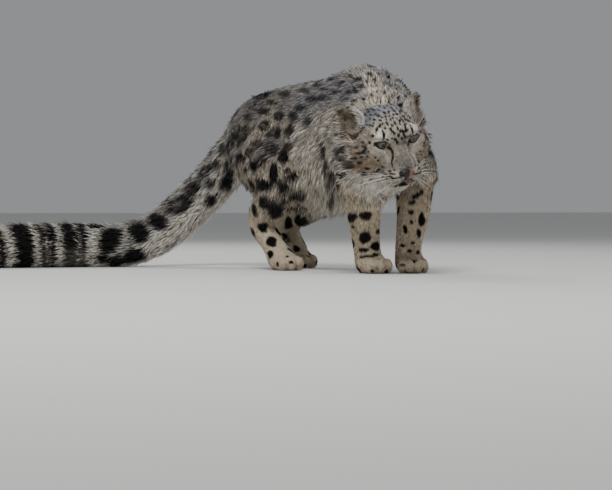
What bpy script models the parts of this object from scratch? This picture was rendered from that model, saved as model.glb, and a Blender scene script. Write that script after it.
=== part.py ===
"""A snow leopard walking low, as a still, life-size model with its long winter coat.

Metres, +Z up, head towards -Y, the floor at z = 0. Right is -X. All the sizes of the body are outer sizes,
over the coat. Where the coat is long, a core stands back from them and locks reach out to them, bending
along the lie of the hair. The animal is modelled whole and then parted into its named pieces with thin cuts.
"""

import math
import random

import bmesh
import bpy
import numpy as np
from mathutils import Euler, Matrix, Vector
from mathutils.bvhtree import BVHTree
from mathutils.kdtree import KDTree

# Driving sizes.
GAP = 0.0003  # kept between two pieces that touch
VOXEL = 0.005  # grain of the fused body
FLOOR_DEPTH = 0.05  # of the block that cuts the soles flat
BODY_FACES, HEAD_FACES = 2000, 1500  # of the smooth body before its locks
SEED = 7
PINCH = 5e-6  # two points nearer than this are drawn apart
SLIVER = 3e-5  # a face narrower than this is shared out among its neighbours
KEPT_FACES = 0.75  # share of the fused skin's faces that stay: the rest lie flat beside their neighbours
LOCK_ROOT = 0.010  # how far a lock's root is sunk in the core
LOCK_FLATNESS = 0.22  # thickness over width
EYE_RADIUS = 0.016
EYE_SPREAD = 0.040  # of each eye from the middle of the face
EYE_DEPTH = 0.0135  # of the eyeball's centre behind the iris
LID_THICKNESS = 0.0028
EYE_OPENING = (0.0150, 0.0130, 0.0085)  # half width, reach and half height of the gap between the lids
LIP_GROOVE = 0.0017
EAR = (0.025, 0.015, 0.032)  # half width, half thickness and half height of an ear's cup
NOSE = (0.0195, 0.0130, 0.0125)

# Pose of the head. Its own frame has the point between the irises as origin, and faces -Y.
HEAD_AT = Vector((-0.126, -0.270, 0.303))
HEAD_TURN, HEAD_NOD, HEAD_TILT = math.radians(-5), math.radians(23.7), math.radians(-12.3)

# The trunk from rump to chest: y, x of the spine, top, bottom, half width.
TRUNK = (
    (0.548, 0.000, 0.366, 0.285, 0.048),
    (0.515, 0.000, 0.412, 0.240, 0.084),
    (0.450, 0.000, 0.446, 0.200, 0.110),
    (0.350, 0.002, 0.462, 0.170, 0.116),
    (0.240, 0.004, 0.470, 0.152, 0.124),
    (0.130, 0.002, 0.478, 0.155, 0.128),
    (0.030, 0.000, 0.499, 0.170, 0.128),
    (-0.045, -0.010, 0.482, 0.185, 0.124),
    (-0.100, -0.028, 0.445, 0.205, 0.108),
    (-0.140, -0.045, 0.410, 0.235, 0.080),
)
# Neck: x, y, z, half width, half height.
NECK = (
    (-0.015, -0.030, 0.350, 0.106, 0.106),
    (-0.045, -0.090, 0.335, 0.110, 0.110),
    (-0.078, -0.135, 0.318, 0.112, 0.112),
    (-0.104, -0.170, 0.305, 0.104, 0.104),
    (-0.118, -0.205, 0.300, 0.080, 0.085),
)
# Tail, root to tip: x, y, z, radius, radius.
TAIL = (
    (0.000, 0.490, 0.352, 0.058, 0.050),
    (-0.004, 0.560, 0.318, 0.062, 0.056),
    (-0.018, 0.606, 0.268, 0.062, 0.060),
    (-0.046, 0.645, 0.212, 0.061, 0.060),
    (-0.098, 0.680, 0.150, 0.060, 0.060),
    (-0.175, 0.714, 0.084, 0.060, 0.060),
    (-0.266, 0.750, 0.056, 0.061, 0.061),
    (-0.360, 0.785, 0.055, 0.062, 0.062),
    (-0.455, 0.812, 0.055, 0.062, 0.062),
    (-0.548, 0.832, 0.054, 0.060, 0.060),
    (-0.615, 0.840, 0.050, 0.052, 0.052),
    (-0.652, 0.842, 0.044, 0.036, 0.036),
    (-0.668, 0.843, 0.042, 0.018, 0.018),
)
# Legs, top to ankle: x, y, z, half width, half depth.
LEGS = {
    "foreleg_right": (
        (-0.070, -0.050, 0.345, 0.038, 0.046),
        (-0.092, -0.075, 0.255, 0.048, 0.062),
        (-0.086, -0.078, 0.205, 0.045, 0.054),
        (-0.076, -0.074, 0.140, 0.040, 0.042),
        (-0.063, -0.064, 0.078, 0.034, 0.034),
        (-0.059, -0.068, 0.040, 0.034, 0.032),
    ),
    "foreleg_left": (
        (0.060, -0.050, 0.345, 0.038, 0.046),
        (0.090, -0.072, 0.255, 0.048, 0.062),
        (0.086, -0.066, 0.205, 0.045, 0.054),
        (0.066, -0.080, 0.140, 0.040, 0.041),
        (0.042, -0.096, 0.082, 0.033, 0.033),
        (0.032, -0.104, 0.046, 0.033, 0.031),
    ),
    "hindleg_right": (
        (-0.060, 0.425, 0.330, 0.058, 0.100),
        (-0.088, 0.325, 0.285, 0.056, 0.092),
        (-0.104, 0.236, 0.242, 0.048, 0.066),
        (-0.106, 0.275, 0.180, 0.041, 0.050),
        (-0.097, 0.330, 0.118, 0.031, 0.037),
        (-0.091, 0.298, 0.078, 0.031, 0.030),
        (-0.088, 0.262, 0.042, 0.034, 0.031),
    ),
    "hindleg_left": (
        (0.060, 0.435, 0.330, 0.058, 0.100),
        (0.088, 0.365, 0.275, 0.056, 0.092),
        (0.102, 0.305, 0.210, 0.047, 0.062),
        (0.098, 0.385, 0.165, 0.040, 0.048),
        (0.084, 0.482, 0.125, 0.030, 0.037),
        (0.074, 0.450, 0.080, 0.031, 0.030),
        (0.067, 0.413, 0.042, 0.034, 0.031),
    ),
}
# Paws: ball and heading in degrees.
PAWS = {
    "forepaw_right": ((-0.058, -0.086, 0.025), 6.0),
    "forepaw_left": ((0.030, -0.118, 0.025), -24.0),
    "hindpaw_right": ((-0.087, 0.236, 0.024), 4.0),
    "hindpaw_left": ((0.064, 0.388, 0.024), -3.0),
}
# Head masses on its midline, in the head's frame: centre, radii, turn about the ear-to-ear line in degrees.
HEAD_MIDDLE = (
    ((0, 0.068, 0.000), (0.075, 0.080, 0.063), 0),
    ((0, 0.030, 0.012), (0.052, 0.044, 0.038), 0),
    ((0, -0.003, -0.024), (0.026, 0.050, 0.025), 42),
    ((0, 0.002, -0.056), (0.050, 0.046, 0.038), 0),
    ((0, -0.024, -0.061), (0.028, 0.025, 0.022), 0),
    ((0, -0.015, -0.091), (0.028, 0.026, 0.020), 0),
    ((0, 0.040, -0.100), (0.066, 0.052, 0.037), 0),
)
# Head masses on each side: cheek, below the eye, brow, whisker pad, jaw, ruff.
HEAD_SIDES = (
    ((0.053, 0.038, -0.032), (0.046, 0.050, 0.050), 0),
    ((0.046, 0.018, -0.028), (0.029, 0.026, 0.020), 0),
    ((0.038, 0.022, 0.019), (0.025, 0.025, 0.017), 0),
    ((0.024, -0.022, -0.069), (0.026, 0.031, 0.023), 0),
    ((0.036, 0.018, -0.086), (0.032, 0.046, 0.026), 0),
    ((0.066, 0.078, -0.056), (0.050, 0.058, 0.058), 0),
)
# Rings of locks: how many, how many in each ring, length and width of a lock.
TAIL_LOCKS = (11, 5, 0.104, 0.050)
TRUNK_LOCKS = (8, 5, 0.096, 0.060)
NECK_LOCKS = (2, 8, 0.096, 0.060)
RUFF_LOCKS = (2, 7, 0.074, 0.050)
BEARD_LOCKS = (1, 5, 0.048, 0.026)
LOCK_ARCS = ((0.035, -205, 25), (0.004, -140, -40))  # of ruff and beard: y in the head, first and last angle
LEG_LOCKS = (1, 2, 0.070, 0.046)
# Coat of the head, in its frame: place, lie and depth of the core under the tips.
HEAD_COAT = (
    ((0, -0.048, -0.050), (0, 0.5, 0.85), 0.0),
    ((0, -0.050, -0.078), (0, 0.8, -0.3), 0.0),
    ((0, -0.014, -0.010), (0, 0.4, 0.9), 0.0),
    ((0, 0.010, 0.042), (0, 0.7, 0.7), 0.001),
    ((0, 0.070, 0.064), (0, 1, 0), 0.002),
    ((0, 0.125, 0.045), (0, 1, -0.2), 0.010),
    ((0.040, -0.004, 0.000), (0.5, 0.8, 0.1), 0.0),
    ((0.042, -0.020, -0.072), (0.4, 0.9, -0.2), 0.0),
    ((0.070, 0.060, 0.020), (0.3, 0.95, -0.1), 0.003),
    ((0.096, 0.035, -0.032), (0.3, 0.85, -0.4), 0.008),
    ((0.112, 0.080, -0.055), (0.3, 0.8, -0.5), 0.018),
    ((0.060, 0.010, -0.090), (0.3, 0.75, -0.6), 0.008),
    ((0.080, 0.070, -0.110), (0.2, 0.6, -0.8), 0.020),
    ((0, -0.036, -0.104), (0, 0.4, -0.9), 0.002),
    ((0, 0.010, -0.125), (0, 0.4, -0.9), 0.018),
    ((0, 0.060, -0.135), (0, 0.6, -0.8), 0.022),
)
# Ear: middle of the cup in the head's frame, and how far it leans outward, back and turns out, in degrees.
EAR_AT, EAR_LEAN, EAR_BACK, EAR_OUT = (0.080, 0.084, 0.036), 50, -12, 30


def clear_scene():
    """Empties the file's scene."""
    for obj in list(bpy.data.objects):
        bpy.data.objects.remove(obj)


def new_collection(name):
    """A collection under the scene's own."""
    collection = bpy.data.collections.new(name)
    bpy.context.scene.collection.children.link(collection)
    return collection


def link(name, mesh, collection):
    """An object for this mesh in the collection."""
    obj = bpy.data.objects.new(name, mesh)
    collection.objects.link(obj)
    return obj


def from_bmesh(name, shape, collection):
    """Turns a bmesh into an object with its faces pointing out."""
    bmesh.ops.recalc_face_normals(shape, faces=shape.faces)
    mesh = bpy.data.meshes.new(name)
    shape.to_mesh(mesh)
    shape.free()
    return link(name, mesh, collection)


def apply_modifiers(obj):
    """Replaces the object's mesh by what its modifiers make of it."""
    depsgraph = bpy.context.evaluated_depsgraph_get()
    old = obj.data
    obj.data = bpy.data.meshes.new_from_object(obj.evaluated_get(depsgraph))
    obj.modifiers.clear()
    bpy.data.meshes.remove(old)


def triangulate(obj):
    """Splits the object's faces into triangles."""
    shape = bmesh.new()
    shape.from_mesh(obj.data)
    bmesh.ops.triangulate(shape, faces=shape.faces, ngon_method="EAR_CLIP")
    shape.to_mesh(obj.data)
    shape.free()


def boolean(obj, other, operation, solver="MANIFOLD"):
    """Cuts or joins the object with another object, or with a whole collection."""
    cut = obj.modifiers.new("cut", "BOOLEAN")
    cut.operation, cut.solver = operation, solver
    if isinstance(other, bpy.types.Collection):
        cut.operand_type, cut.collection = "COLLECTION", other
    else:
        cut.object = other
    apply_modifiers(obj)


def between(rows, t):
    """A smooth curve through rows of numbers, at t from 0 to 1."""
    place = t * (len(rows) - 1)
    i = min(int(place), len(rows) - 2)
    u = place - i
    a, b = rows[max(i - 1, 0)], rows[i]
    c, d = rows[i + 1], rows[min(i + 2, len(rows) - 1)]
    return [
        0.5 * (2 * q + (r - p) * u + (2 * p - 5 * q + 4 * r - s) * u * u + (3 * q - p - 3 * r + s) * u**3)
        for p, q, r, s in zip(a, b, c, d)
    ]


def heading_at(rows, t):
    """The unit direction of a path of rows at t."""
    before, after = between(rows, max(t - 0.01, 0)), between(rows, min(t + 0.01, 1))
    return (Vector(after[:3]) - Vector(before[:3])).normalized()


def square_to(along):
    """The side and the up of a ring that stands square to a path."""
    flat = Vector((1, 0, 0)) - along * along.x
    if flat.length < 0.5:
        flat = along.cross(Vector((0, 0, 1)))
    side = flat.normalized()
    return side, along.cross(side).normalized()


def add_loft(shape, rings):
    """Skins closed rings of equal count and closes both ends."""
    rows = [[shape.verts.new(point) for point in ring] for ring in rings]
    count = len(rows[0])
    for lower, upper in zip(rows, rows[1:]):
        for i in range(count):
            j = (i + 1) % count
            shape.faces.new((lower[i], lower[j], upper[j], upper[i]))
    shape.faces.new(rows[0][::-1])
    shape.faces.new(rows[-1])


def oval(centre, side, up, half_side, half_up, half_down, power=2.0, count=24):
    """One ring of a loft: a squared oval with its own height above and below the centre."""
    points = []
    for i in range(count):
        angle = math.tau * i / count
        c, s = math.cos(angle), math.sin(angle)
        across = math.copysign(abs(c) ** (2 / power), c) * half_side
        height = math.copysign(abs(s) ** (2 / power), s) * (half_up if s > 0 else half_down)
        points.append(Vector(centre) + side * across + up * height)
    return points


def add_trunk(shape, steps=40):
    """The barrel of the body, widest a little below its middle."""
    rings = []
    for k in range(steps + 1):
        y, x, top, bottom, half = between(TRUNK, k / steps)
        middle = bottom + 0.46 * (top - bottom)
        side, up = Vector((1, 0, 0)), Vector((0, 0, 1))
        rings.append(oval((x, y, middle), side, up, half, top - middle, middle - bottom, 2.2))
    add_loft(shape, rings)


def add_limb(shape, rows, steps=28):
    """A limb, neck or tail: ovals square to the path through its rows."""
    rings = []
    for k in range(steps + 1):
        x, y, z, half_side, half_up = between(rows, k / steps)
        side, up = square_to(heading_at(rows, k / steps))
        rings.append(oval((x, y, z), side, up, half_side, half_up, half_up))
    add_loft(shape, rings)


def add_ball(shape, centre, radii, turn=(0, 0, 0), frame=Matrix(), segments=20):
    """An ellipsoid of these radii, turned by Euler degrees, in the frame given."""
    spin = Euler([math.radians(a) for a in turn]).to_matrix().to_4x4()
    place = frame @ Matrix.Translation(centre) @ spin @ Matrix.Diagonal((*radii, 1))
    rings = segments // 2 + 2
    bmesh.ops.create_uvsphere(shape, u_segments=segments, v_segments=rings, radius=1, matrix=place)


def ball(name, centre, radii, turn, frame, collection, segments=20):
    """An ellipsoid as an object of its own."""
    shape = bmesh.new()
    add_ball(shape, centre, radii, turn, frame, segments)
    return from_bmesh(name, shape, collection)


def head_frame():
    """Where the head's own frame stands in the body's."""
    turn = Matrix.Rotation(HEAD_TURN, 4, "Z") @ Matrix.Rotation(HEAD_NOD, 4, "X")
    return Matrix.Translation(HEAD_AT) @ turn @ Matrix.Rotation(HEAD_TILT, 4, "Y")


def add_head(shape, frame):
    """Skull, cheeks, muzzle, chin and ruff, the same left and right."""
    for centre, radii, turn in HEAD_MIDDLE:
        add_ball(shape, centre, radii, (turn, 0, 0), frame)
    for side in (-1, 1):
        for (x, y, z), radii, turn in HEAD_SIDES:
            add_ball(shape, (side * x, y, z), radii, (turn, 0, 0), frame)


def add_paw(shape, centre, heading):
    """A broad furred paw: pad, instep and four toes in an arc."""
    frame = Matrix.Translation(centre) @ Matrix.Rotation(math.radians(heading), 4, "Z")
    add_ball(shape, (0, 0.010, 0.000), (0.037, 0.038, 0.031), frame=frame)
    for across, ahead in ((-0.026, -0.018), (-0.010, -0.032), (0.010, -0.032), (0.026, -0.018)):
        add_ball(shape, (across, ahead, -0.007), (0.0125, 0.021, 0.0195), (-12, 0, 0), frame, 14)


def body_masses():
    """All the masses of the animal, still passing through one another."""
    shape = bmesh.new()
    add_trunk(shape)
    add_limb(shape, NECK)
    for rows in LEGS.values():
        add_limb(shape, rows)
    add_limb(shape, TAIL, 60)
    for side in (-1, 1):
        add_ball(shape, (side * 0.045 - 0.004, 0.010, 0.405), (0.044, 0.075, 0.072))
        add_ball(shape, (side * 0.082, -0.050, 0.300), (0.048, 0.075, 0.090))
    for centre, heading in PAWS.values():
        add_paw(shape, centre, heading)
    add_head(shape, head_frame())
    return shape


def vertices(obj):
    """The object's vertex positions as rows."""
    points = np.empty(len(obj.data.vertices) * 3)
    obj.data.vertices.foreach_get("co", points)
    return points.reshape(-1, 3)


def weigh(obj, name, weights):
    """Stores one weight per vertex in a vertex group."""
    group = obj.vertex_groups.get(name) or obj.vertex_groups.new(name=name)
    for step in range(11):
        chosen = np.flatnonzero(np.rint(weights * 10) == step)
        if step and len(chosen):
            group.add([int(i) for i in chosen], step / 10, "REPLACE")
    return group.name


def coat_samples():
    """Places on the body where the lie of the hair and the depth from its tips to the core are known."""
    samples = []

    def add(place, lie, depth):
        samples.append((Vector(place), Vector(lie).normalized(), depth))

    for k in range(10):
        y, x, top, bottom, half = between(TRUNK, k / 9)
        tall = top - bottom
        add((x, y, top), (0, 1, -0.1), 0.006)
        add((x, y, bottom), (0, 0.55, -0.84), 0.024)
        for side in (-1, 1):
            add((x + side * half * 0.85, y, top - 0.18 * tall), (side * 0.2, 0.85, -0.45), 0.008)
            add((x + side * half, y, bottom + 0.45 * tall), (0, 0.66, -0.75), 0.016)
            add((x + side * half * 0.8, y, bottom + 0.15 * tall), (0, 0.6, -0.8), 0.022)
    for k in range(5):
        x, y, z, half_side, half_up = NECK[k]
        back = -heading_at(NECK, k / 4)
        add((x, y, z + half_up), back + Vector((0, 0, 0.1)), 0.012)
        add((x, y, z - half_up), back + Vector((0, 0, -0.9)), 0.024)
        for side in (-1, 1):
            add((x + side * half_side, y, z), back + Vector((side * 0.1, 0, -0.5)), 0.020)
    for k in range(13):
        t = k / 12
        x, y, z, half, _ = between(TAIL, t)
        deep = 0.022 if t < 0.84 else 0.36 * half
        side, up = square_to(heading_at(TAIL, t))
        for angle in (0, 1, 2, 3):
            out = side * math.cos(angle * math.pi / 2) + up * math.sin(angle * math.pi / 2)
            add(Vector((x, y, z)) + out * half, heading_at(TAIL, t), deep)
    for name, rows in LEGS.items():
        top = 0.014 if name.startswith("hind") else 0.010
        for k in range(len(rows)):
            t = k / (len(rows) - 1)
            side, up = square_to(heading_at(rows, t))
            x, y, z, half_side, half_up = rows[k]
            for out, half in ((side, half_side), (-side, half_side), (up, half_up), (-up, half_up)):
                add(Vector((x, y, z)) + out * half, heading_at(rows, t), top * (1 - t) ** 1.4)
    for (x, y, z), _ in PAWS.values():
        add((x, y - 0.03, z), (0, -1, -0.2), 0.0)
        add((x, y + 0.03, z), (0, -1, -0.4), 0.0)
    frame = head_frame()
    turn = frame.to_3x3()
    for (x, y, z), lie, depth in HEAD_COAT:
        for side in (-1, 1) if x else (1,):
            add(frame @ Vector((side * x, y, z)), turn @ Vector((side * lie[0], lie[1], lie[2])), depth)
    return samples


def coat_at(points, samples):
    """The lie of the hair and the core's depth at each point, from the samples nearest to it."""
    spots = np.array([place for place, _, _ in samples])
    lies = np.array([lie for _, lie, _ in samples])
    depths = np.array([depth for _, _, depth in samples])
    lie, depth = np.empty((len(points), 3)), np.empty(len(points))
    for start in range(0, len(points), 4000):
        part = slice(start, start + 4000)
        gap = ((points[part, None] - spots[None]) ** 2).sum(axis=2) + 1e-8
        weight = gap**-3
        weight /= weight.sum(axis=1, keepdims=True)
        lie[part] = weight @ lies
        depth[part] = weight @ depths
    return lie, depth


def sink_core(body, samples):
    """Draws the skin in from the tips of the coat to the core."""
    points = vertices(body)
    normals = np.empty(len(points) * 3)
    body.data.vertex_normals.foreach_get("vector", normals)
    _, depth = coat_at(points, samples)
    points -= normals.reshape(-1, 3) * depth[:, None]
    body.data.vertices.foreach_set("co", points.ravel())
    body.data.update()


def off_head(points):
    """0 on the face, rising to 1 where the neck begins."""
    inverse = np.array(head_frame().inverted())
    local = points @ inverse[:3, :3].T + inverse[:3, 3]
    far = np.linalg.norm(local - np.array((0, 0.02, -0.03)), axis=1)
    return np.clip((far - 0.115) / 0.03, 0, 1)


def smooth_body(samples, collection):
    """The masses fused into one smooth core, kept finer on the head."""
    body = from_bmesh("whole", body_masses(), collection)
    fuse = body.modifiers.new("fuse", "REMESH")
    fuse.mode, fuse.voxel_size = "VOXEL", VOXEL
    apply_modifiers(body)
    group = weigh(body, "body", off_head(vertices(body)))
    ease = body.modifiers.new("ease", "SMOOTH")
    ease.factor, ease.iterations = 0.5, 3
    calm = body.modifiers.new("calm", "SMOOTH")
    calm.factor, calm.iterations, calm.vertex_group = 0.5, 8, group
    apply_modifiers(body)
    sink_core(body, samples)
    thin_out(body, group)
    return body


def thin_out(body, group):
    """Fewer faces: evenly at first, then only behind the head."""
    head_share = 0.12
    faces = len(body.data.polygons) * 2
    first = body.modifiers.new("even", "DECIMATE")
    first.ratio = min(1, HEAD_FACES / head_share / faces)
    apply_modifiers(body)
    faces = len(body.data.polygons)
    rest = body.modifiers.new("coarse", "DECIMATE")
    rest.ratio = (BODY_FACES + HEAD_FACES) / faces
    rest.vertex_group = group
    rest.vertex_group_factor = 8.0
    apply_modifiers(body)
    body.vertex_groups.clear()


def lock_path(core, root, normal, length, sway, samples):
    """Centres, upward ways and headings along a lock, which follows the lie of the hair over the core."""
    place, up = root, normal
    stops = []
    for step, reach in ((0.32, 0.32), (0.36, 0.68), (0.32, 1.0)):
        lie, depth = coat_at(np.array([place]), samples)
        lie = Matrix.Rotation(sway, 3, up) @ Vector(lie[0])
        hang = max(lie.normalized().dot(up), 0)
        lie = (lie - up * lie.dot(up)).normalized()
        onward = place + lie * length * step
        _, below, facing, _ = core.closest_point_on_mesh(onward)
        up = (up + facing * 1.4).normalized()
        rise = max(depth[0], 0.006) * (1 - (1 - reach) ** 2)
        place = below + up * rise + Vector((0, 0, -0.25 * hang * length * reach))
        stops.append((place, up, lie))
    return stops


def crossings(shape):
    """The pairs of faces that share no corner and pass through each other."""
    shape.faces.ensure_lookup_table()
    shape.faces.index_update()
    tree = BVHTree.FromBMesh(shape)
    faces = shape.faces
    pairs = [(faces[i], faces[j]) for i, j in tree.overlap(tree) if i < j]
    return [(one, two) for one, two in pairs if not set(one.verts) & set(two.verts)]


def add_lock(core, origin, outward, size, samples, draw, locks):
    """One lock: a flat, tapered blade whose root is sunk in the core and whose tip lies along the coat."""
    hit, root, normal, _ = core.ray_cast(origin, outward)
    if not hit:
        return
    length, width = size[0] * draw.uniform(0.85, 1.15), size[1] * draw.uniform(0.88, 1.12)
    stops = lock_path(core, root, normal, length, math.radians(draw.uniform(-14, 14)), samples)
    lie = stops[0][2]
    buried = root - normal * LOCK_ROOT - lie * 0.06 * length
    rings = []
    for (centre, up, along), wide in zip([(buried, normal, lie)] + stops[:2], (0.62, 1.0, 0.66)):
        side = up.cross(along).normalized() * width * wide / 2
        thick = up * width * LOCK_FLATNESS * (0.4 + 0.6 * wide) / 2
        rings.append([centre + side - thick, centre + thick, centre - side - thick])
    shape = bmesh.new()
    rows = [[shape.verts.new(point) for point in ring] for ring in rings]
    tip = shape.verts.new(stops[2][0])
    shape.faces.new(rows[0])
    for lower, upper in zip(rows, rows[1:]):
        for i in range(3):
            j = (i + 1) % 3
            shape.faces.new((lower[i], lower[j], upper[j], upper[i]))
    for i in range(3):
        shape.faces.new((rows[-1][i], rows[-1][(i + 1) % 3], tip))
    bmesh.ops.triangulate(shape, faces=shape.faces)
    if crossings(shape):
        shape.free()
    else:
        from_bmesh("lock", shape, locks)


def ring_of_locks(core, centre, side, up, angles, size, samples, draw, locks):
    """Locks whose roots lie where rays from a centre leave the core, at these angles from side towards up."""
    for angle in angles:
        turned = math.radians(angle + draw.uniform(-5, 5))
        outward = side * math.cos(turned) + up * math.sin(turned)
        add_lock(core, centre, outward, size, samples, draw, locks)


def grow_locks(core, samples, locks):
    """All the locks of the long coat: tail, belly and flanks, neck, ruff, beard and backs of the legs."""
    draw = random.Random(SEED)
    rings, count, *size = TAIL_LOCKS
    for k in range(rings):
        t = 0.08 + 0.88 * k / (rings - 1)
        side, up = square_to(heading_at(TAIL, t))
        angles = [360 * (j + 0.5 * (k % 2)) / count for j in range(count)]
        ring_of_locks(core, Vector(between(TAIL, t)[:3]), side, up, angles, size, samples, draw, locks)
    rings, count, *size = TRUNK_LOCKS
    for k in range(rings):
        y, x, top, bottom, _ = between(TRUNK, 0.06 + 0.86 * k / (rings - 1))
        centre = Vector((x, y, bottom + 0.5 * (top - bottom)))
        angles = [-90 + 106 * (2 * (j + 0.5 * (k % 2)) / count - 1) for j in range(count)]
        ring_of_locks(core, centre, Vector((1, 0, 0)), Vector((0, 0, 1)), angles, size, samples, draw, locks)
    rings, count, *size = NECK_LOCKS
    for k in range(rings):
        t = 0.02 + 0.60 * k / (rings - 1)
        side, up = square_to(heading_at(NECK, t))
        angles = [360 * (j + 0.5 * (k % 2)) / count for j in range(count)]
        ring_of_locks(core, Vector(between(NECK, t)[:3]), side, up, angles, size, samples, draw, locks)
    frame = head_frame()
    across, above = frame.to_3x3() @ Vector((1, 0, 0)), frame.to_3x3() @ Vector((0, 0, 1))
    for (rings, count, *size), (start, low, high) in zip((RUFF_LOCKS, BEARD_LOCKS), LOCK_ARCS):
        for k in range(rings):
            angles = [low + (high - low) * (j + 0.5) / count for j in range(count)]
            centre = frame @ Vector((0, start + 0.04 * k, -0.045))
            ring_of_locks(core, centre, across, above, angles, size, samples, draw, locks)
    rings, count, *size = LEG_LOCKS
    across, behind = Vector((1, 0, 0)), Vector((0, 1, 0))
    for rows in LEGS.values():
        for k in range(rings):
            centre = Vector(between(rows, 0.22 + 0.13 * k)[:3])
            angles = [90 + 50 * (2 * (j + 0.5) / count - 1) for j in range(count)]
            ring_of_locks(core, centre, across, behind, angles, size, samples, draw, locks)


def fuse_locks(core, samples):
    """Grows the locks and joins them to the core in one step."""
    locks = new_collection("locks")
    grow_locks(core, samples, locks)
    triangulate(core)
    boolean(core, locks, "UNION")
    triangulate(core)
    spare = core.modifiers.new("spare", "DECIMATE")
    spare.ratio = KEPT_FACES
    apply_modifiers(core)
    for lock in list(locks.objects):
        bpy.data.objects.remove(lock)
    bpy.data.collections.remove(locks)


def part_pinches(shape):
    """Draws apart points of two surfaces that meet in one place, so that the shape stays one clean skin."""
    tree = KDTree(len(shape.verts))
    for vertex in shape.verts:
        tree.insert(vertex.co, vertex.index)
    tree.balance()
    for vertex in shape.verts:
        near = [index for _, index, far in tree.find_range(vertex.co, 2 * PINCH) if index != vertex.index]
        if near:
            around = [edge.other_vert(vertex).co for edge in vertex.link_edges]
            middle = sum(around, Vector()) / len(around)
            vertex.co += (middle - vertex.co).normalized() * PINCH * 3


def is_sliver(face):
    """True for a face thinner than a hair."""
    return 2 * face.calc_area() < SLIVER * max(edge.calc_length() for edge in face.edges)


def may_collapse(edge):
    """True where the skin stays closed when this edge's two points become one."""
    one, two = ({side.other_vert(point) for side in point.link_edges} for point in edge.verts)
    return len(one & two) == 2


def collapse_near(shape, groups):
    """Takes away the shortest edge that may go beside each group of faces."""
    short = set()
    for faces in groups:
        points = [point for face in faces for point in face.verts]
        edges = [edge for point in points for edge in point.link_edges if may_collapse(edge)]
        short.add(min(edges, key=lambda edge: edge.calc_length()))
    bmesh.ops.collapse(shape, edges=list(short))


def clear_slivers(shape):
    """Shares out faces thinner than a hair: their longest edge gives way to the other diagonal."""
    for _ in range(8):
        turned, touched = [], set()
        for face in filter(is_sliver, shape.faces):
            longest = max(face.edges, key=lambda edge: edge.calc_length())
            if not touched & set(longest.link_faces):
                turned.append(longest)
                touched |= set(longest.link_faces)
        bmesh.ops.rotate_edges(shape, edges=turned, use_ccw=False)
    collapse_near(shape, [[face] for face in filter(is_sliver, shape.faces)])


def clear_crossings(shape):
    """Takes away the short edges beside faces that fold over each other at a cut."""
    for _ in range(8):
        collapse_near(shape, crossings(shape))


def keep_largest(obj):
    """Drops all but the largest closed surface."""
    shape = bmesh.new()
    shape.from_mesh(obj.data)
    bmesh.ops.triangulate(shape, faces=shape.faces, ngon_method="EAR_CLIP")
    clear_slivers(shape)
    clear_crossings(shape)
    shape.verts.index_update()
    shape.verts.ensure_lookup_table()
    part_pinches(shape)
    seen, islands = set(), []
    for start in shape.verts:
        if start.index in seen:
            continue
        seen.add(start.index)
        island, queue = [], [start]
        while queue:
            vertex = queue.pop()
            island.append(vertex)
            for edge in vertex.link_edges:
                other = edge.other_vert(vertex)
                if other.index not in seen:
                    seen.add(other.index)
                    queue.append(other)
        islands.append(island)
    islands.sort(key=lambda island: volume_of(island), reverse=True)
    scraps = [vertex for island in islands[1:] for vertex in island]
    bmesh.ops.delete(shape, geom=scraps, context="VERTS")
    shape.to_mesh(obj.data)
    shape.free()


def volume_of(island):
    """The volume that one closed surface encloses."""
    faces = {face for vertex in island for face in vertex.link_faces}
    total = 0.0
    for face in faces:
        a, b, c = (vertex.co for vertex in face.verts)
        total += a.dot(b.cross(c)) / 6
    return abs(total)


def block(name, frame, half, collection):
    """A box of these half sizes in the frame given, as a cutter."""
    shape = bmesh.new()
    bmesh.ops.create_cube(shape, size=2)
    cutter = from_bmesh(name, shape, collection)
    cutter.matrix_world = frame @ Matrix.Diagonal((*half, 1))
    return cutter


def part_off(body, name, frame, half, model, cutters):
    """Parts the body at a box: what is in it becomes a piece, with a thin gap all round."""
    cutter = block("cut_" + name, frame, half, cutters)
    piece = link(name, body.data.copy(), model)
    boolean(piece, cutter, "INTERSECT")
    keep_largest(piece)
    cutter.matrix_world = frame @ Matrix.Diagonal([h + GAP for h in half] + [1])
    boolean(body, cutter, "DIFFERENCE")
    keep_largest(body)
    return piece


def inlay(host, name, centre, radii, turn, frame, model, cutters, segments=20):
    """Sets an ellipsoid into its host: the host is hollowed for it with a thin gap."""
    grown = [r + GAP for r in radii]
    cutter = ball("cut_" + name, centre, grown, turn, frame, cutters, segments)
    boolean(host, cutter, "DIFFERENCE")
    return ball(name, centre, radii, turn, frame, model, segments)


def add_lids(head, side, frame, cutters):
    """Lids as a shell over the eyeball, with the almond gap between them."""
    centre = (side * EYE_SPREAD, EYE_DEPTH, 0)
    shell = [EYE_RADIUS + LID_THICKNESS] * 3
    boolean(head, ball("lid", centre, shell, (0, 0, 0), frame, cutters, 14), "UNION")
    gap = (side * EYE_SPREAD, EYE_DEPTH - EYE_RADIUS, 0)
    boolean(head, ball("lid_gap", gap, EYE_OPENING, (0, side * -9, 0), frame, cutters, 14), "DIFFERENCE")


def surface_point(obj, origin, direction):
    """Where a ray from inside leaves the object, and the way that the surface faces there."""
    hit, place, normal, _ = obj.ray_cast(origin, direction)
    return (place, normal) if hit else (None, None)


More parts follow.
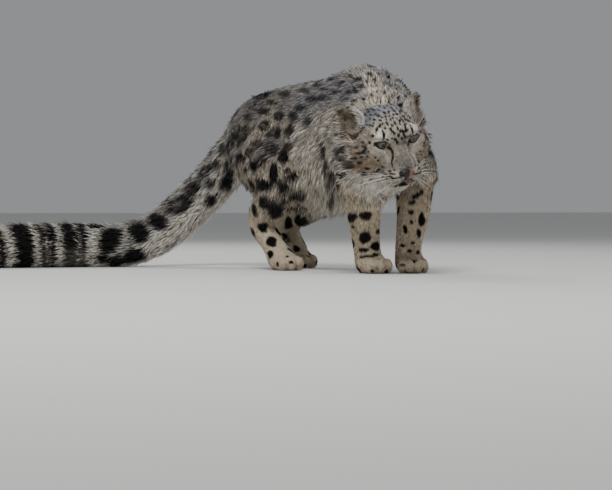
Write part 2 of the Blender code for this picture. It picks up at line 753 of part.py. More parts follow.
def cut_mouth(head, frame, cutters):
    """The line of the mouth: a fine groove that follows the lips from corner to corner."""
    turn = frame.to_3x3()
    rings = []
    for k in range(13):
        angle = math.radians(-66 + 132 * k / 12)
        drop = 0.0045 * math.cos(3 * angle) - 0.011 * (angle / math.radians(66)) ** 2
        origin = frame @ Vector((0, -0.008, -0.0800 + drop))
        outward = turn @ Vector((math.sin(angle), -math.cos(angle), 0))
        place, _ = surface_point(head, origin, outward)
        if place is None:
            continue
        above = turn @ Vector((0, 0, 1))
        rings.append(oval(place, outward, above, LIP_GROOVE * 1.6, LIP_GROOVE, LIP_GROOVE, count=6))
    shape = bmesh.new()
    add_loft(shape, rings)
    boolean(head, from_bmesh("mouth_line", shape, cutters), "DIFFERENCE")


def make_ear(head, side, frame, model, cutters):
    """A rounded ear: a cup open to the front, with its root set into the head."""
    name = "ear_left" if side > 0 else "ear_right"
    x, y, z = EAR_AT
    turn = (EAR_BACK, side * EAR_LEAN, side * EAR_OUT)
    ear = inlay(head, name, (side * x, y, z), EAR, turn, frame, model, cutters, 14)
    spin = Euler([math.radians(a) for a in turn]).to_matrix()
    hollow = Vector((side * x, y, z)) + spin @ Vector((0, -0.0105, 0.002))
    inside = [EAR[0] - 0.0055, EAR[1] - 0.002, EAR[2] - 0.007]
    boolean(ear, ball("cut_cup_" + name, hollow, inside, turn, frame, cutters, 12), "DIFFERENCE")
    keep_largest(ear)
    return ear


def finish_head(head, frame, model, cutters):
    """Lids, eyes, mouth, nose, tongue tip and ears."""
    cut_mouth(head, frame, cutters)
    for side, name in ((-1, "eye_right"), (1, "eye_left")):
        add_lids(head, side, frame, cutters)
        centre = (side * EYE_SPREAD, EYE_DEPTH, 0)
        inlay(head, name, centre, [EYE_RADIUS] * 3, (0, 0, 0), frame, model, cutters, 14)
    nose = inlay(head, "nose", (0, -0.0470, -0.0570), NOSE, (-30, 0, 0), frame, model, cutters, 14)
    for side in (-1, 1):
        spot = (side * 0.0085, -0.0590, -0.0590)
        nostril = ball("nostril", spot, (0.0045, 0.005, 0.0030), (0, side * 25, 0), frame, cutters, 8)
        boolean(nose, nostril, "DIFFERENCE")
    tip = (0.0080, 0.0075, 0.0034)
    inlay(head, "tongue", (0, -0.0480, -0.0815), tip, (0, 0, 0), frame, model, cutters, 12)
    for side in (-1, 1):
        make_ear(head, side, frame, model, cutters)
    keep_largest(head)


def path_frame(rows, t):
    """A frame on a path with +Y along it."""
    along = heading_at(rows, t)
    side, _ = square_to(along)
    turn = Matrix((side, along, side.cross(along))).transposed().to_4x4()
    return Matrix.Translation(Vector(between(rows, t)[:3])) @ turn


def upright(x, y, z, yaw=0.0):
    """An upright frame at this point."""
    return Matrix.Translation((x, y, z)) @ Matrix.Rotation(math.radians(yaw), 4, "Z")


def part_body(body, model, cutters):
    """Parts the whole animal where a person would name its pieces."""
    frame = head_frame()
    middle = frame @ Matrix.Translation((0, 0.000, -0.020))
    head = part_off(body, "head", middle, (0.165, 0.106, 0.145), model, cutters)
    finish_head(head, frame, model, cutters)
    part_off(body, "neck", upright(-0.083, -0.135, 0.345, -30.0), (0.125, 0.092, 0.152), model, cutters)
    lengths = (("tail_4", 0.80, 0.15), ("tail_3", 0.60, 0.16), ("tail_2", 0.38, 0.17), ("tail_1", 0.09, 0.13))
    for name, t, half in lengths:
        place = path_frame(TAIL, t) @ Matrix.Translation((0, 0.20, 0))
        part_off(body, name, place, (half, 0.20, half), model, cutters)
    part_off(body, "forepaw_right", upright(-0.074, -0.090, 0.020), (0.060, 0.080, 0.042), model, cutters)
    part_off(body, "forepaw_left", upright(0.046, -0.110, 0.020), (0.0595, 0.080, 0.042), model, cutters)
    part_off(body, "foreleg_right", upright(-0.074, -0.080, 0.130), (0.074, 0.085, 0.075), model, cutters)
    part_off(body, "foreleg_left", upright(0.076, -0.080, 0.130), (0.074, 0.085, 0.075), model, cutters)
    part_off(body, "hindpaw_right", upright(-0.095, 0.290, 0.040), (0.070, 0.110, 0.060), model, cutters)
    part_off(body, "hindpaw_left", upright(0.075, 0.440, 0.040), (0.070, 0.110, 0.060), model, cutters)
    part_off(body, "shank_right", upright(-0.110, 0.290, 0.150), (0.060, 0.110, 0.055), model, cutters)
    part_off(body, "shank_left", upright(0.105, 0.390, 0.150), (0.060, 0.130, 0.056), model, cutters)
    part_off(body, "thigh_right", upright(-0.130, 0.355, 0.290), (0.066, 0.165, 0.085), model, cutters)
    part_off(body, "thigh_left", upright(0.130, 0.385, 0.290), (0.066, 0.150, 0.085), model, cutters)
    body.name = "torso"
    body.data.name = "torso"


# Colour and roughness of each piece, by the first part of its name.
FINISHES = {
    "eye": ((0.28, 0.30, 0.20), 0.08),
    "nose": ((0.05, 0.03, 0.03), 0.35),
    "tongue": ((0.50, 0.18, 0.18), 0.35),
    "ear": ((0.30, 0.25, 0.20), 0.90),
    "tail": ((0.38, 0.36, 0.34), 0.95),
    "fore": ((0.48, 0.40, 0.32), 0.90),
    "hind": ((0.48, 0.40, 0.32), 0.90),
    "": ((0.42, 0.40, 0.37), 0.92),
}


def paint(obj):
    """Gives a piece its own material."""
    colour, roughness = next(value for key, value in FINISHES.items() if obj.name.startswith(key))
    material = bpy.data.materials.new("finish_" + obj.name)
    material.use_nodes = True
    shader = material.node_tree.nodes["Principled BSDF"]
    shader.inputs["Base Color"].default_value = (*colour, 1)
    shader.inputs["Roughness"].default_value = roughness
    shader.inputs["Metallic"].default_value = 0.0
    obj.data.materials.clear()
    obj.data.materials.append(material)


def centre_on_floor(pieces):
    """Moves all the pieces so that the middle of the whole stands on the origin."""
    corners = np.vstack([vertices(piece) for piece in pieces])
    low, high = corners.min(axis=0), corners.max(axis=0)
    shift = Matrix.Translation((-(low[0] + high[0]) / 2, -(low[1] + high[1]) / 2, -low[2]))
    for piece in pieces:
        piece.data.transform(shift)


def main():
    clear_scene()
    model = new_collection("snow_leopard")
    cutters = new_collection("cutters")
    samples = coat_samples()
    body = smooth_body(samples, model)
    fuse_locks(body, samples)
    keep_largest(body)
    floor = block("cut_floor", upright(-0.25, 0.20, -FLOOR_DEPTH), (1.0, 1.0, FLOOR_DEPTH), cutters)
    boolean(body, floor, "DIFFERENCE")
    part_body(body, model, cutters)
    for piece in model.objects:
        paint(piece)
    centre_on_floor(model.objects)
    for cutter in cutters.objects:
        cutter.hide_render = True
        cutter.display_type = "WIRE"


main()
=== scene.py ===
"""A snow leopard walking low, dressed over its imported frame: skin, coat, ears, eyes, nose and whiskers.

Metres, +Z up, the animal faces -Y and its right side is -X. Outer sizes are over the coat: the skin lies
inside them by the depth of the hair, and tufts of solid mesh follow the lie of the coat out to those sizes.
"""

from __future__ import annotations

import logging
import math
import random
from collections.abc import Callable, Sequence
from dataclasses import dataclass, field
from enum import Enum

import bmesh
import bpy
import numpy as np
from mathutils import Euler, Matrix, Vector
from mathutils.bvhtree import BVHTree
from mathutils.kdtree import KDTree

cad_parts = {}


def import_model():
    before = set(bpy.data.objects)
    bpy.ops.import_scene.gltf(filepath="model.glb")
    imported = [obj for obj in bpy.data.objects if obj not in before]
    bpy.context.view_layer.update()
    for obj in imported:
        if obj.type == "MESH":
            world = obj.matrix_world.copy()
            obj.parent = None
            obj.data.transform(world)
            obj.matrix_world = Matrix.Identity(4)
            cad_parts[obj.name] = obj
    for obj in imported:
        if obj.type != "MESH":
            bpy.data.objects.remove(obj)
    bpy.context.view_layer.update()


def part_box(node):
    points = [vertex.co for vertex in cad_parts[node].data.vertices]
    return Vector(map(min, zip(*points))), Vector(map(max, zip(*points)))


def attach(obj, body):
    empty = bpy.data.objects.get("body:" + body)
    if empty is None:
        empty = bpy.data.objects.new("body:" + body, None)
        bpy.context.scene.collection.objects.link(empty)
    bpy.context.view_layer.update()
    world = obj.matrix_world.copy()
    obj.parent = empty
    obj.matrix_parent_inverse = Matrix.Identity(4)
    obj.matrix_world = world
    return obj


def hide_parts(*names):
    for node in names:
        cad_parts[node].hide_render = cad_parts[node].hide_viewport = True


LOG = logging.getLogger("snow_leopard")

Array, Row, Rows = np.ndarray, Sequence[float], Sequence[Sequence[float]]
Piece, Shape = bpy.types.Object, bmesh.types.BMesh
Material, Tree, Node, Socket = bpy.types.Material, bpy.types.NodeTree, bpy.types.Node, bpy.types.NodeSocket

PHOTO_WIDTH, PHOTO_HEIGHT = 612, 490  # pixels
BODY = "root"
COAT_LAYER = "coat"  # colour attribute of skin and hair
BAKE_MAP = "OFBake"
PATCH = 0.0015  # half a tuft's patch on the unwrap
CHUNK = 20000  # rows of the coat's map worked out at a time
FACE_LIMIT = 199000  # of one piece of the coat
SIDES = (-1, 1)  # right and left

# Sizes shared by several pieces.
SKIN_VOXEL = 0.0035
SHORTEST_COAT = 0.0026  # depth of the short hair on face and feet
EYE_RADIUS = 0.016
EYE_SPREAD = 0.04  # of each eye from the middle of the face
EYE_DEPTH = 0.0135  # of the eyeball's centre behind the iris
HEAD_AT = Vector((-0.126, -0.27, 0.303))
HEAD_TURN, HEAD_NOD, HEAD_TILT = math.radians(-5), math.radians(23.7), math.radians(-12.3)


# ---- Curves and frames


def between(rows: Rows, t: float) -> list[float]:
    """Reads a smooth curve through rows of numbers.

    Args:
        rows: The rows that the curve passes through.
        t: The place on the curve, from 0 to 1.

    Returns:
        The row at that place.
    """
    place = t * (len(rows) - 1)
    i = min(int(place), len(rows) - 2)
    u = place - i
    a, b = rows[max(i - 1, 0)], rows[i]
    c, d = rows[i + 1], rows[min(i + 2, len(rows) - 1)]
    return [
        0.5 * (2 * q + (r - p) * u + (2 * p - 5 * q + 4 * r - s) * u * u + (3 * q - p - 3 * r + s) * u**3)
        for p, q, r, s in zip(a, b, c, d)
    ]


def heading_at(rows: Rows, t: float) -> Vector:
    """The unit direction of a path of rows at t."""
    before, after = between(rows, max(t - 0.01, 0)), between(rows, min(t + 0.01, 1))
    return (Vector(after[:3]) - Vector(before[:3])).normalized()


def square_to(along: Vector) -> tuple[Vector, Vector]:
    """The side and the up of a ring that stands square to a path."""
    flat = Vector((1, 0, 0)) - along * along.x
    if flat.length < 0.5:
        flat = along.cross(Vector((0, 0, 1)))
    side = flat.normalized()
    return side, along.cross(side).normalized()


def head_frame() -> Matrix:
    """Where the head's own frame stands: its origin is the point between the irises, and it faces -Y."""
    turn = Matrix.Rotation(HEAD_TURN, 4, "Z") @ Matrix.Rotation(HEAD_NOD, 4, "X")
    return Matrix.Translation(HEAD_AT) @ turn @ Matrix.Rotation(HEAD_TILT, 4, "Y")


def spun(degrees: Row) -> Matrix:
    """A rotation matrix from Euler angles in degrees."""
    return Euler([math.radians(a) for a in degrees]).to_matrix().to_4x4()


def ripple(points: Array, scale: float, seed: int) -> Array:
    """A smooth uneven field, about -1 to 1, made of crossing waves.

    Args:
        points: Places, one a row.
        scale: The usual size of a patch, in metres.
        seed: Picks the waves.

    Returns:
        One value per place.
    """
    draw = np.random.default_rng(seed)
    total = np.zeros(len(points))
    for octave in (1.0, 1.9, 3.3):
        for _ in range(4):
            wave = draw.normal(size=3)
            wave *= octave * math.pi / scale / np.linalg.norm(wave)
            total += np.sin(points @ wave + draw.uniform(0, math.tau)) / octave
    return total / 3.2


def local_to(inverse: Array, places: Array) -> Array:
    """The same places as seen from a frame, given its inverse."""
    return places @ inverse[:3, :3].T + inverse[:3, 3]


def mixed(first: Array, second: Array, share: Array) -> Array:
    """Colours between the first and the second, by the second's share."""
    return first * (1 - share) + second * share


def smooth_step(low: float, high: float, values: Array) -> Array:
    """0 below low, 1 above high, with an easy rise between them."""
    t = np.clip((values - low) / (high - low), 0, 1)
    return t * t * (3 - 2 * t)


# ---- Meshes and objects


def link(name: str, mesh: bpy.types.Mesh) -> Piece:
    """Puts a mesh into the scene under this name."""
    obj = bpy.data.objects.new(name, mesh)
    bpy.context.scene.collection.objects.link(obj)
    return obj


def from_bmesh(name: str, shape: Shape) -> Piece:
    """Turns a bmesh into an object with its faces pointing out."""
    bmesh.ops.recalc_face_normals(shape, faces=shape.faces)
    mesh = bpy.data.meshes.new(name)
    shape.to_mesh(mesh)
    shape.free()
    return link(name, mesh)


def apply_modifiers(obj: Piece) -> None:
    """Replaces the object's mesh by what its modifiers make of it."""
    depsgraph = bpy.context.evaluated_depsgraph_get()
    old = obj.data
    obj.data = bpy.data.meshes.new_from_object(obj.evaluated_get(depsgraph))
    obj.modifiers.clear()
    bpy.data.meshes.remove(old)


def boolean(obj: Piece, other: Piece, operation: str) -> None:
    """Cuts or joins the object with another, which is then removed."""
    cut = obj.modifiers.new("cut", "BOOLEAN")
    cut.operation, cut.solver, cut.object = operation, "MANIFOLD", other
    apply_modifiers(obj)
    bpy.data.objects.remove(other)


def fuse(obj: Piece, voxel: float, ease: int) -> None:
    """Turns masses that pass through one another into one smooth skin.

    Args:
        obj: The object with all the masses.
        voxel: The grain of the skin.
        ease: How often it is smoothed.
    """
    remesh = obj.modifiers.new("fuse", "REMESH")
    remesh.mode, remesh.voxel_size = "VOXEL", voxel
    soften = obj.modifiers.new("ease", "SMOOTH")
    soften.factor, soften.iterations = 0.5, ease
    apply_modifiers(obj)


def add_ball(
    shape: Shape,
    centre: Row,
    radii: Row,
    turn: Row = (0, 0, 0),
    frame: Matrix | None = None,
    segments: int = 24,
) -> None:
    """Adds an ellipsoid of these radii, turned by Euler degrees, in the frame given."""
    place = (frame or Matrix()) @ Matrix.Translation(centre) @ spun(turn) @ Matrix.Diagonal((*radii, 1))
    rings = segments // 2 + 2
    rows = []
    for k in range(1, rings):
        high, wide = math.cos(math.pi * k / rings), math.sin(math.pi * k / rings)
        angles = [math.tau * i / segments for i in range(segments)]
        ring = [Vector((wide * math.cos(a), wide * math.sin(a), high)) for a in angles]
        rows.append([shape.verts.new(place @ point) for point in ring])
    top, bottom = (shape.verts.new(place @ Vector((0, 0, z))) for z in (1, -1))
    for i in range(segments):
        j = (i + 1) % segments
        shape.faces.new((top, rows[0][i], rows[0][j]))
        shape.faces.new((bottom, rows[-1][j], rows[-1][i]))
        for upper, lower in zip(rows, rows[1:]):
            shape.faces.new((upper[i], lower[i], lower[j], upper[j]))


def ball(
    name: str, centre: Row, radii: Row, frame: Matrix, turn: Row = (0, 0, 0), segments: int = 24
) -> Piece:
    """An ellipsoid as an object of its own."""
    shape = bmesh.new()
    add_ball(shape, centre, radii, turn, frame, segments)
    return from_bmesh(name, shape)


def oval(
    centre: Row,
    side: Vector,
    up: Vector,
    half_side: float,
    half_up: float,
    half_down: float,
    power: float = 2.0,
    count: int = 24,
) -> list[Vector]:
    """One ring of a loft: a squared oval with its own height above and below the centre."""
    points = []
    for i in range(count):
        angle = math.tau * i / count
        c, s = math.cos(angle), math.sin(angle)
        across = math.copysign(abs(c) ** (2 / power), c) * half_side
        height = math.copysign(abs(s) ** (2 / power), s) * (half_up if s > 0 else half_down)
        points.append(Vector(centre) + side * across + up * height)
    return points


def add_loft(shape: Shape, rings: Sequence[Sequence[Vector]], closed: bool = False) -> None:
    """Skins rings of equal count.

    Args:
        shape: Where the faces go.
        rings: The rings, in order.
        closed: True where the last ring joins the first, and otherwise both ends get a cap.
    """
    rows = [[shape.verts.new(point) for point in ring] for ring in rings]
    count = len(rows[0])
    pairs = list(zip(rows, rows[1:])) + ([(rows[-1], rows[0])] if closed else [])
    for lower, upper in pairs:
        for i in range(count):
            j = (i + 1) % count
            shape.faces.new((lower[i], lower[j], upper[j], upper[i]))
    if not closed:
        shape.faces.new(rows[0][::-1])
        shape.faces.new(rows[-1])


def add_tube(
    shape: Shape,
    path: Sequence[Vector],
    radii: Row,
    outward: Sequence[Vector],
    flat: float = 1.0,
    count: int = 8,
    closed: bool = False,
) -> None:
    """Adds a tube along a path, with its own radius at each point.

    Args:
        shape: Where the faces go.
        path: The points of the tube's middle.
        radii: Half the tube's width at each point.
        outward: The way that each ring's up points.
        flat: The tube's height over its width.
        count: Points in a ring.
        closed: True for a ring-shaped path.
    """
    rings = []
    last = len(path) - 1
    for i, point in enumerate(path):
        after = path[(i + 1) % len(path)] if closed or i < last else point
        before = path[i - 1] if closed or i else point
        along = (after - before).normalized()
        side = along.cross(outward[i]).normalized()
        up = side.cross(along)
        rings.append(oval(point, side, up, radii[i], radii[i] * flat, radii[i] * flat, count=count))
    add_loft(shape, rings, closed)


def mesh_of(name: str, points: Array, triangles: Array) -> bpy.types.Mesh:
    """Makes a smooth-shaded mesh from arrays of points and triangles."""
    mesh = bpy.data.meshes.new(name)
    mesh.vertices.add(len(points))
    mesh.vertices.foreach_set("co", points.astype(np.float32).ravel())
    mesh.loops.add(triangles.size)
    mesh.loops.foreach_set("vertex_index", triangles.astype(np.int32).ravel())
    mesh.polygons.add(len(triangles))
    mesh.polygons.foreach_set("loop_start", np.arange(0, triangles.size, 3, dtype=np.int32))
    mesh.update(calc_edges=True)
    mesh.shade_smooth()
    return mesh


def paint_points(mesh: bpy.types.Mesh, colours: Array) -> None:
    """Stores one linear colour per point of the mesh."""
    layer = mesh.color_attributes.new(name=COAT_LAYER, type="FLOAT_COLOR", domain="POINT")
    full = np.ones((len(colours), 4), dtype=np.float32)
    full[:, :3] = colours
    layer.data.foreach_set("color", full.ravel())


def dress(obj: Piece, material: Material) -> None:
    """Gives the whole object one material."""
    obj.data.materials.clear()
    obj.data.materials.append(material)
    obj.data.polygons.foreach_set("material_index", [0] * len(obj.data.polygons))


def finished(name: str, shape: Shape, material: Material) -> Piece:
    """Turns a bmesh into a smooth piece of one material."""
    piece = from_bmesh(name, shape)
    piece.data.shade_smooth()
    dress(piece, material)
    return piece


def unwrap(obj: Piece) -> None:
    """Lays the object's own shape out flat as the map that colours are baked on."""
    mesh = obj.data
    if not mesh.uv_layers:
        mesh.uv_layers.new(name=BAKE_MAP)
    bpy.context.view_layer.objects.active = obj
    obj.select_set(True)
    bpy.ops.object.mode_set(mode="EDIT")
    bpy.ops.mesh.select_all(action="SELECT")
    bpy.ops.uv.smart_project(angle_limit=math.radians(66), island_margin=0.002)
    bpy.ops.object.mode_set(mode="OBJECT")
    obj.select_set(False)


def read_values(items: bpy.types.bpy_prop_collection, name: str, width: int, kind: type = float) -> Array:
    """Reads one attribute of all of a mesh's items, a row for each."""
    values = np.empty(len(items) * width, dtype=kind)
    items.foreach_get(name, values)
    return values.reshape(-1, width)


def move_points(mesh: bpy.types.Mesh, points: Array) -> None:
    """Moves the mesh's points to these places."""
    mesh.vertices.foreach_set("co", points.ravel())
    mesh.update()


@dataclass
class Surface:
    """A triangulated skin: points, their normals, triangles, and the unwrap of each triangle's corners."""

    points: Array
    normals: Array
    triangles: Array
    corners: Array
    tree: BVHTree

    @classmethod
    def of(cls, obj: Piece) -> Surface:
        """Reads an object whose mesh has its bake map."""
        mesh = obj.data
        mesh.calc_loop_triangles()
        points = read_values(mesh.vertices, "co", 3)
        normals = read_values(mesh.vertex_normals, "vector", 3)
        triangles = read_values(mesh.loop_triangles, "vertices", 3, np.int32)
        loops = read_values(mesh.loop_triangles, "loops", 3, np.int32)
        corners = read_values(mesh.uv_layers[0].data, "uv", 2)[loops]
        tree = BVHTree.FromPolygons(points.tolist(), triangles.tolist())
        return cls(points, normals, triangles, corners, tree)

    def areas(self) -> Array:
        """The area of each triangle."""
        a, b, c = (self.points[self.triangles[:, k]] for k in range(3))
        return np.linalg.norm(np.cross(b - a, c - a), axis=1) / 2

    def nearest(self, places: Array) -> tuple[Array, Array]:
        """The skin's points nearest to these places, and the ways that it faces there."""
        spots, facings = np.empty_like(places), np.empty_like(places)
        for i, place in enumerate(places):
            spots[i], facings[i], _, _ = self.tree.find_nearest(place)
        return spots, facings

    def scatter(
        self, weight: Array, count: int, draw: np.random.Generator, triangles: Array | None = None
    ) -> tuple[Array, Array, Array]:
        """Picks places on the skin at random.

        Args:
            weight: How often each triangle is picked.
            count: How many places.
            draw: The random source.
            triangles: Indices of the triangles, where not all of them take part.

        Returns:
            The places, the ways that the skin faces there, and the places on its unwrap.
        """
        chosen = draw.choice(len(weight), count, p=weight / weight.sum())
        if triangles is not None:
            chosen = triangles[chosen]
        share = draw.dirichlet((1, 1, 1), count)
        corners = self.triangles[chosen]
        values = (self.points[corners], self.normals[corners], self.corners[chosen])
        root, normal, flat = (np.einsum("nk,nkd->nd", share, value) for value in values)
        return root, normal, flat


# ---- Finishes


def to_linear(code: str) -> tuple[float, float, float]:
    """Turns an sRGB hex code into linear colour values."""
    channels = [int(code[i : i + 2], 16) / 255 for i in (1, 3, 5)]
    red, green, blue = (c / 12.92 if c <= 0.04045 else ((c + 0.055) / 1.055) ** 2.4 for c in channels)
    return red, green, blue


def add_node(
    tree: Tree,
    kind: str,
    settings: dict[str, object] | None = None,
    inputs: dict[str | int, object] | None = None,
) -> Node:
    """Adds a shader node.

    Args:
        tree: The material's node tree.
        kind: The node's type name.
        settings: Attributes of the node.
        inputs: A value or an output socket for each input, by its name or index.

    Returns:
        The new node.
    """
    node = tree.nodes.new(kind)
    for name, value in (settings or {}).items():
        setattr(node, name, value)
    for name, value in (inputs or {}).items():
        if isinstance(value, Socket):
            tree.links.new(value, node.inputs[name])
        else:
            node.inputs[name].default_value = value
    return node


def new_material(name: str, values: dict[str, object]) -> tuple[Material, Tree, Node]:
    """A material with a Principled shader whose own sockets have these values, its tree and that shader."""
    material = bpy.data.materials.new(name)
    material.use_nodes = True
    tree = material.node_tree
    shader = tree.nodes["Principled BSDF"]
    for socket, value in values.items():
        shader.inputs[socket].default_value = value
    return material, tree, shader


def value_of(tree: Tree, kind: str, operation: str, *inputs: object) -> Socket:
    """Adds a Math or VectorMath node and gives what comes out of it."""
    node = add_node(tree, "ShaderNode" + kind, {"operation": operation}, dict(enumerate(inputs)))
    return node.outputs["Vector" if operation == "SUBTRACT" else "Value"]


def texture(tree: Tree, kind: str, size_mm: float, **inputs: object) -> Socket:
    """Adds a Noise or Voronoi texture in the object's own space, with patches of about this size."""
    place = add_node(tree, "ShaderNodeTexCoord").outputs["Object"]
    inputs.update({"Vector": place, "Scale": 1000 / size_mm})
    return add_node(tree, "ShaderNodeTex" + kind, None, inputs).outputs[0]


def add_relief(tree: Tree, shader: Node, height: Socket, strength: float, depth: float) -> None:
    """Gives the shader a bump of this height pattern, depth metres deep."""
    bump = add_node(tree, "ShaderNodeBump", None, {"Height": height, "Strength": strength, "Distance": depth})
    tree.links.new(bump.outputs["Normal"], shader.inputs["Normal"])


def add_coat_colour(tree: Tree, shader: Node) -> None:
    """Lets the markings stored on the mesh colour the shader."""
    colour = add_node(tree, "ShaderNodeVertexColor", {"layer_name": COAT_LAYER})
    tree.links.new(colour.outputs["Color"], shader.inputs["Base Color"])


@dataclass(frozen=True)
class FurFinish:
    """Keratin hair, dull and soft at grazing angles: markings per tuft, painted shade at roots, painted light
    at tips.
    """

    name: str = "winter_fur"
    roughness: float = 0.74
    sheen: float = 0.08

    def material(self) -> Material:
        """Builds the material."""
        values = {"Roughness": self.roughness, "IOR": 1.55, "Specular IOR Level": 0.14}
        values |= {"Sheen Weight": self.sheen, "Sheen Roughness": 0.45}
        material, tree, shader = new_material(self.name, values)
        add_coat_colour(tree, shader)
        return material


@dataclass(frozen=True)
class HideFinish:
    """Skin under the hair: the same markings, with a fine bump for the short hair that lies flat on it."""

    name: str = "furred_hide"
    hair_mm: float = 1.6  # spacing of the flat short hair, drawn coarser than real hair so that it shows
    depth_mm: float = 0.5

    def material(self) -> Material:
        """Builds the material."""
        values = {"Roughness": 0.85, "Specular IOR Level": 0.15, "IOR": 1.45}
        material, tree, shader = new_material(self.name, values)
        add_coat_colour(tree, shader)
        grain = texture(tree, "Noise", self.hair_mm, Detail=2.0, Roughness=0.6)
        add_relief(tree, shader, grain, 0.5, self.depth_mm / 1000)
        return material


@dataclass(frozen=True)
class BareSkinFinish:
    """Bare skin of lids and lips: pebbled, a little damp, so that it takes small highlights."""

    name: str
    colour: str
    roughness: float = 0.42
    pebble_mm: float = 1.1  # drawn coarser than the real pebbles, so that they show
    depth_mm: float = 0.25

    def material(self) -> Material:
        """Builds the material."""
        values = {"Base Color": (*to_linear(self.colour), 1), "Roughness": self.roughness, "IOR": 1.42}
        values |= {"Coat Weight": 0.15, "Coat Roughness": 0.25}
        material, tree, shader = new_material(self.name, values)
        add_relief(tree, shader, texture(tree, "Voronoi", self.pebble_mm), 0.35, self.depth_mm / 1000)
        return material


@dataclass(frozen=True)
class NoseFinish:
    """Nose leather: black, with a pink patch on the left, pebbled and damp."""

    name: str = "nose_leather"
    dark: str = "#1C1514"
    pink: str = "#7E564F"
    pebble_mm: float = 1.0  # drawn coarser than the real pebbles, so that they show
    blotch_mm: float = 1000 / 260  # how finely the pink's edge wanders
    wander: float = 0.008
    edge: tuple[float, float] = (0.003, 0.0055)  # where the pink starts and where it is full

    def material(self, start: Vector, across: Vector) -> Material:
        """Builds the material.

        Args:
            start: The place where black turns to pink.
            across: The way from black to pink.

        Returns:
            The material.
        """
        values = {"Roughness": 0.38, "IOR": 1.42, "Coat Weight": 0.2, "Coat Roughness": 0.2}
        material, tree, shader = new_material(self.name, values)
        place = add_node(tree, "ShaderNodeTexCoord").outputs["Object"]
        away = value_of(tree, "VectorMath", "SUBTRACT", place, start)
        side = value_of(tree, "VectorMath", "DOT_PRODUCT", away, across)
        blotch = texture(tree, "Noise", self.blotch_mm, Detail=2.0)
        uneven = value_of(tree, "Math", "MULTIPLY_ADD", blotch, self.wander, side)
        low, high = self.edge
        inputs = {"Value": uneven, "From Min": low, "From Max": high}
        share = add_node(tree, "ShaderNodeMapRange", None, inputs)
        dark, pink = ((*to_linear(code), 1) for code in (self.dark, self.pink))
        inputs = {"Factor": share.outputs["Result"], 6: dark, 7: pink}
        mix = add_node(tree, "ShaderNodeMix", {"data_type": "RGBA"}, inputs)
        tree.links.new(mix.outputs[2], shader.inputs["Base Color"])
        add_relief(tree, shader, texture(tree, "Voronoi", self.pebble_mm), 0.4, 0.0003)
        return material


@dataclass(frozen=True)
class EyeFinish:
    """A living eye: grey-green iris with fine spokes, round pupil and dark rim, under a wet clear coat."""

    name: str = "wet_eye"
    pupil_mm: float = 4.2
    iris_mm: float = 9.4
    inner: str = "#6C6843"
    outer: str = "#3E412E"
    rim: str = "#0E0B09"
    white: str = "#241A14"
    black: str = "#020202"
    spokes: float = 11.0
    spoke_reach: float = 0.0011  # how far the spokes push the rings of the iris in and out

    def material(self, centre: Vector, gaze: Vector, side: Vector) -> Material:
        """Builds the material.

        Args:
            centre: The middle of the eyeball.
            gaze: The unit way that the eye looks.
            side: A unit way square to it.

        Returns:
            The material.
        """
        values = {"Roughness": 0.25, "IOR": 1.38}
        values |= {"Coat Weight": 1.0, "Coat Roughness": 0.02, "Coat IOR": 1.38}
        material, tree, shader = new_material(self.name, values)
        place = add_node(tree, "ShaderNodeTexCoord").outputs["Object"]
        away = value_of(tree, "VectorMath", "SUBTRACT", place, centre)
        x, y = (value_of(tree, "VectorMath", "DOT_PRODUCT", away, way) for way in (side, gaze.cross(side)))
        flat = add_node(tree, "ShaderNodeCombineXYZ", None, {"X": x, "Y": y}).outputs["Vector"]
        reach = value_of(tree, "VectorMath", "LENGTH", flat)
        inputs = {"W": value_of(tree, "Math", "ARCTAN2", x, y), "Scale": self.spokes, "Detail": 3.0}
        spokes = add_node(tree, "ShaderNodeTexNoise", {"noise_dimensions": "1D"}, inputs).outputs["Fac"]
        uneven = value_of(tree, "Math", "MULTIPLY_ADD", spokes, self.spoke_reach, reach)
        scaled = value_of(tree, "Math", "MULTIPLY", uneven, 100.0)  # 1 on the ramp is 10 mm
        ramp = add_node(tree, "ShaderNodeValToRGB", None, {"Fac": scaled})
        middle_reach = 0.055  # what the spokes add on average
        pupil, iris = self.pupil_mm / 10 + middle_reach, self.iris_mm / 10 + middle_reach
        stops = (
            (0.0, self.black), (pupil, self.black), (pupil + 0.03, self.inner),
            (pupil + 0.6 * (iris - pupil), self.outer), (iris - 0.08, self.outer), (iris, self.rim),
            (min(iris + 0.06, 1.0), self.white),
        )
        while len(ramp.color_ramp.elements) < len(stops):
            ramp.color_ramp.elements.new(1.0)
        for element, (at, code) in zip(ramp.color_ramp.elements, stops):
            element.position = at
            element.color = (*to_linear(code), 1)
        tree.links.new(ramp.outputs["Color"], shader.inputs["Base Color"])
        return material


@dataclass(frozen=True)
class PlainFinish:
    """One colour with a fine grain in tone, gloss and relief, for whiskers, tongue and the studio's floor."""

    name: str
    colour: str
    roughness: float
    grain_mm: float
    relief: float = 0.0  # height of the grain, in metres
    uneven: float = 0.2  # how far the tone and the gloss go up and down

    def material(self) -> Material:
        """Builds the material."""
        material, tree, shader = new_material(self.name, {})
        grain = texture(tree, "Noise", self.grain_mm, Detail=2.0)
        low, high = 1 - self.uneven, 1 + self.uneven
        colour = np.array(to_linear(self.colour))
        inputs = {"Factor": grain, 6: (*(colour * low), 1), 7: (*np.minimum(colour * high, 1), 1)}
        tone = add_node(tree, "ShaderNodeMix", {"data_type": "RGBA"}, inputs)
        inputs = {"Value": grain, "To Min": self.roughness * high, "To Max": self.roughness * low}
        gloss = add_node(tree, "ShaderNodeMapRange", None, inputs)
        tree.links.new(tone.outputs[2], shader.inputs["Base Color"])
        tree.links.new(gloss.outputs["Result"], shader.inputs["Roughness"])
        if self.relief:
            add_relief(tree, shader, grain, 0.5, self.relief)
        return material


# ---- The coat's map: lie, depth and colour


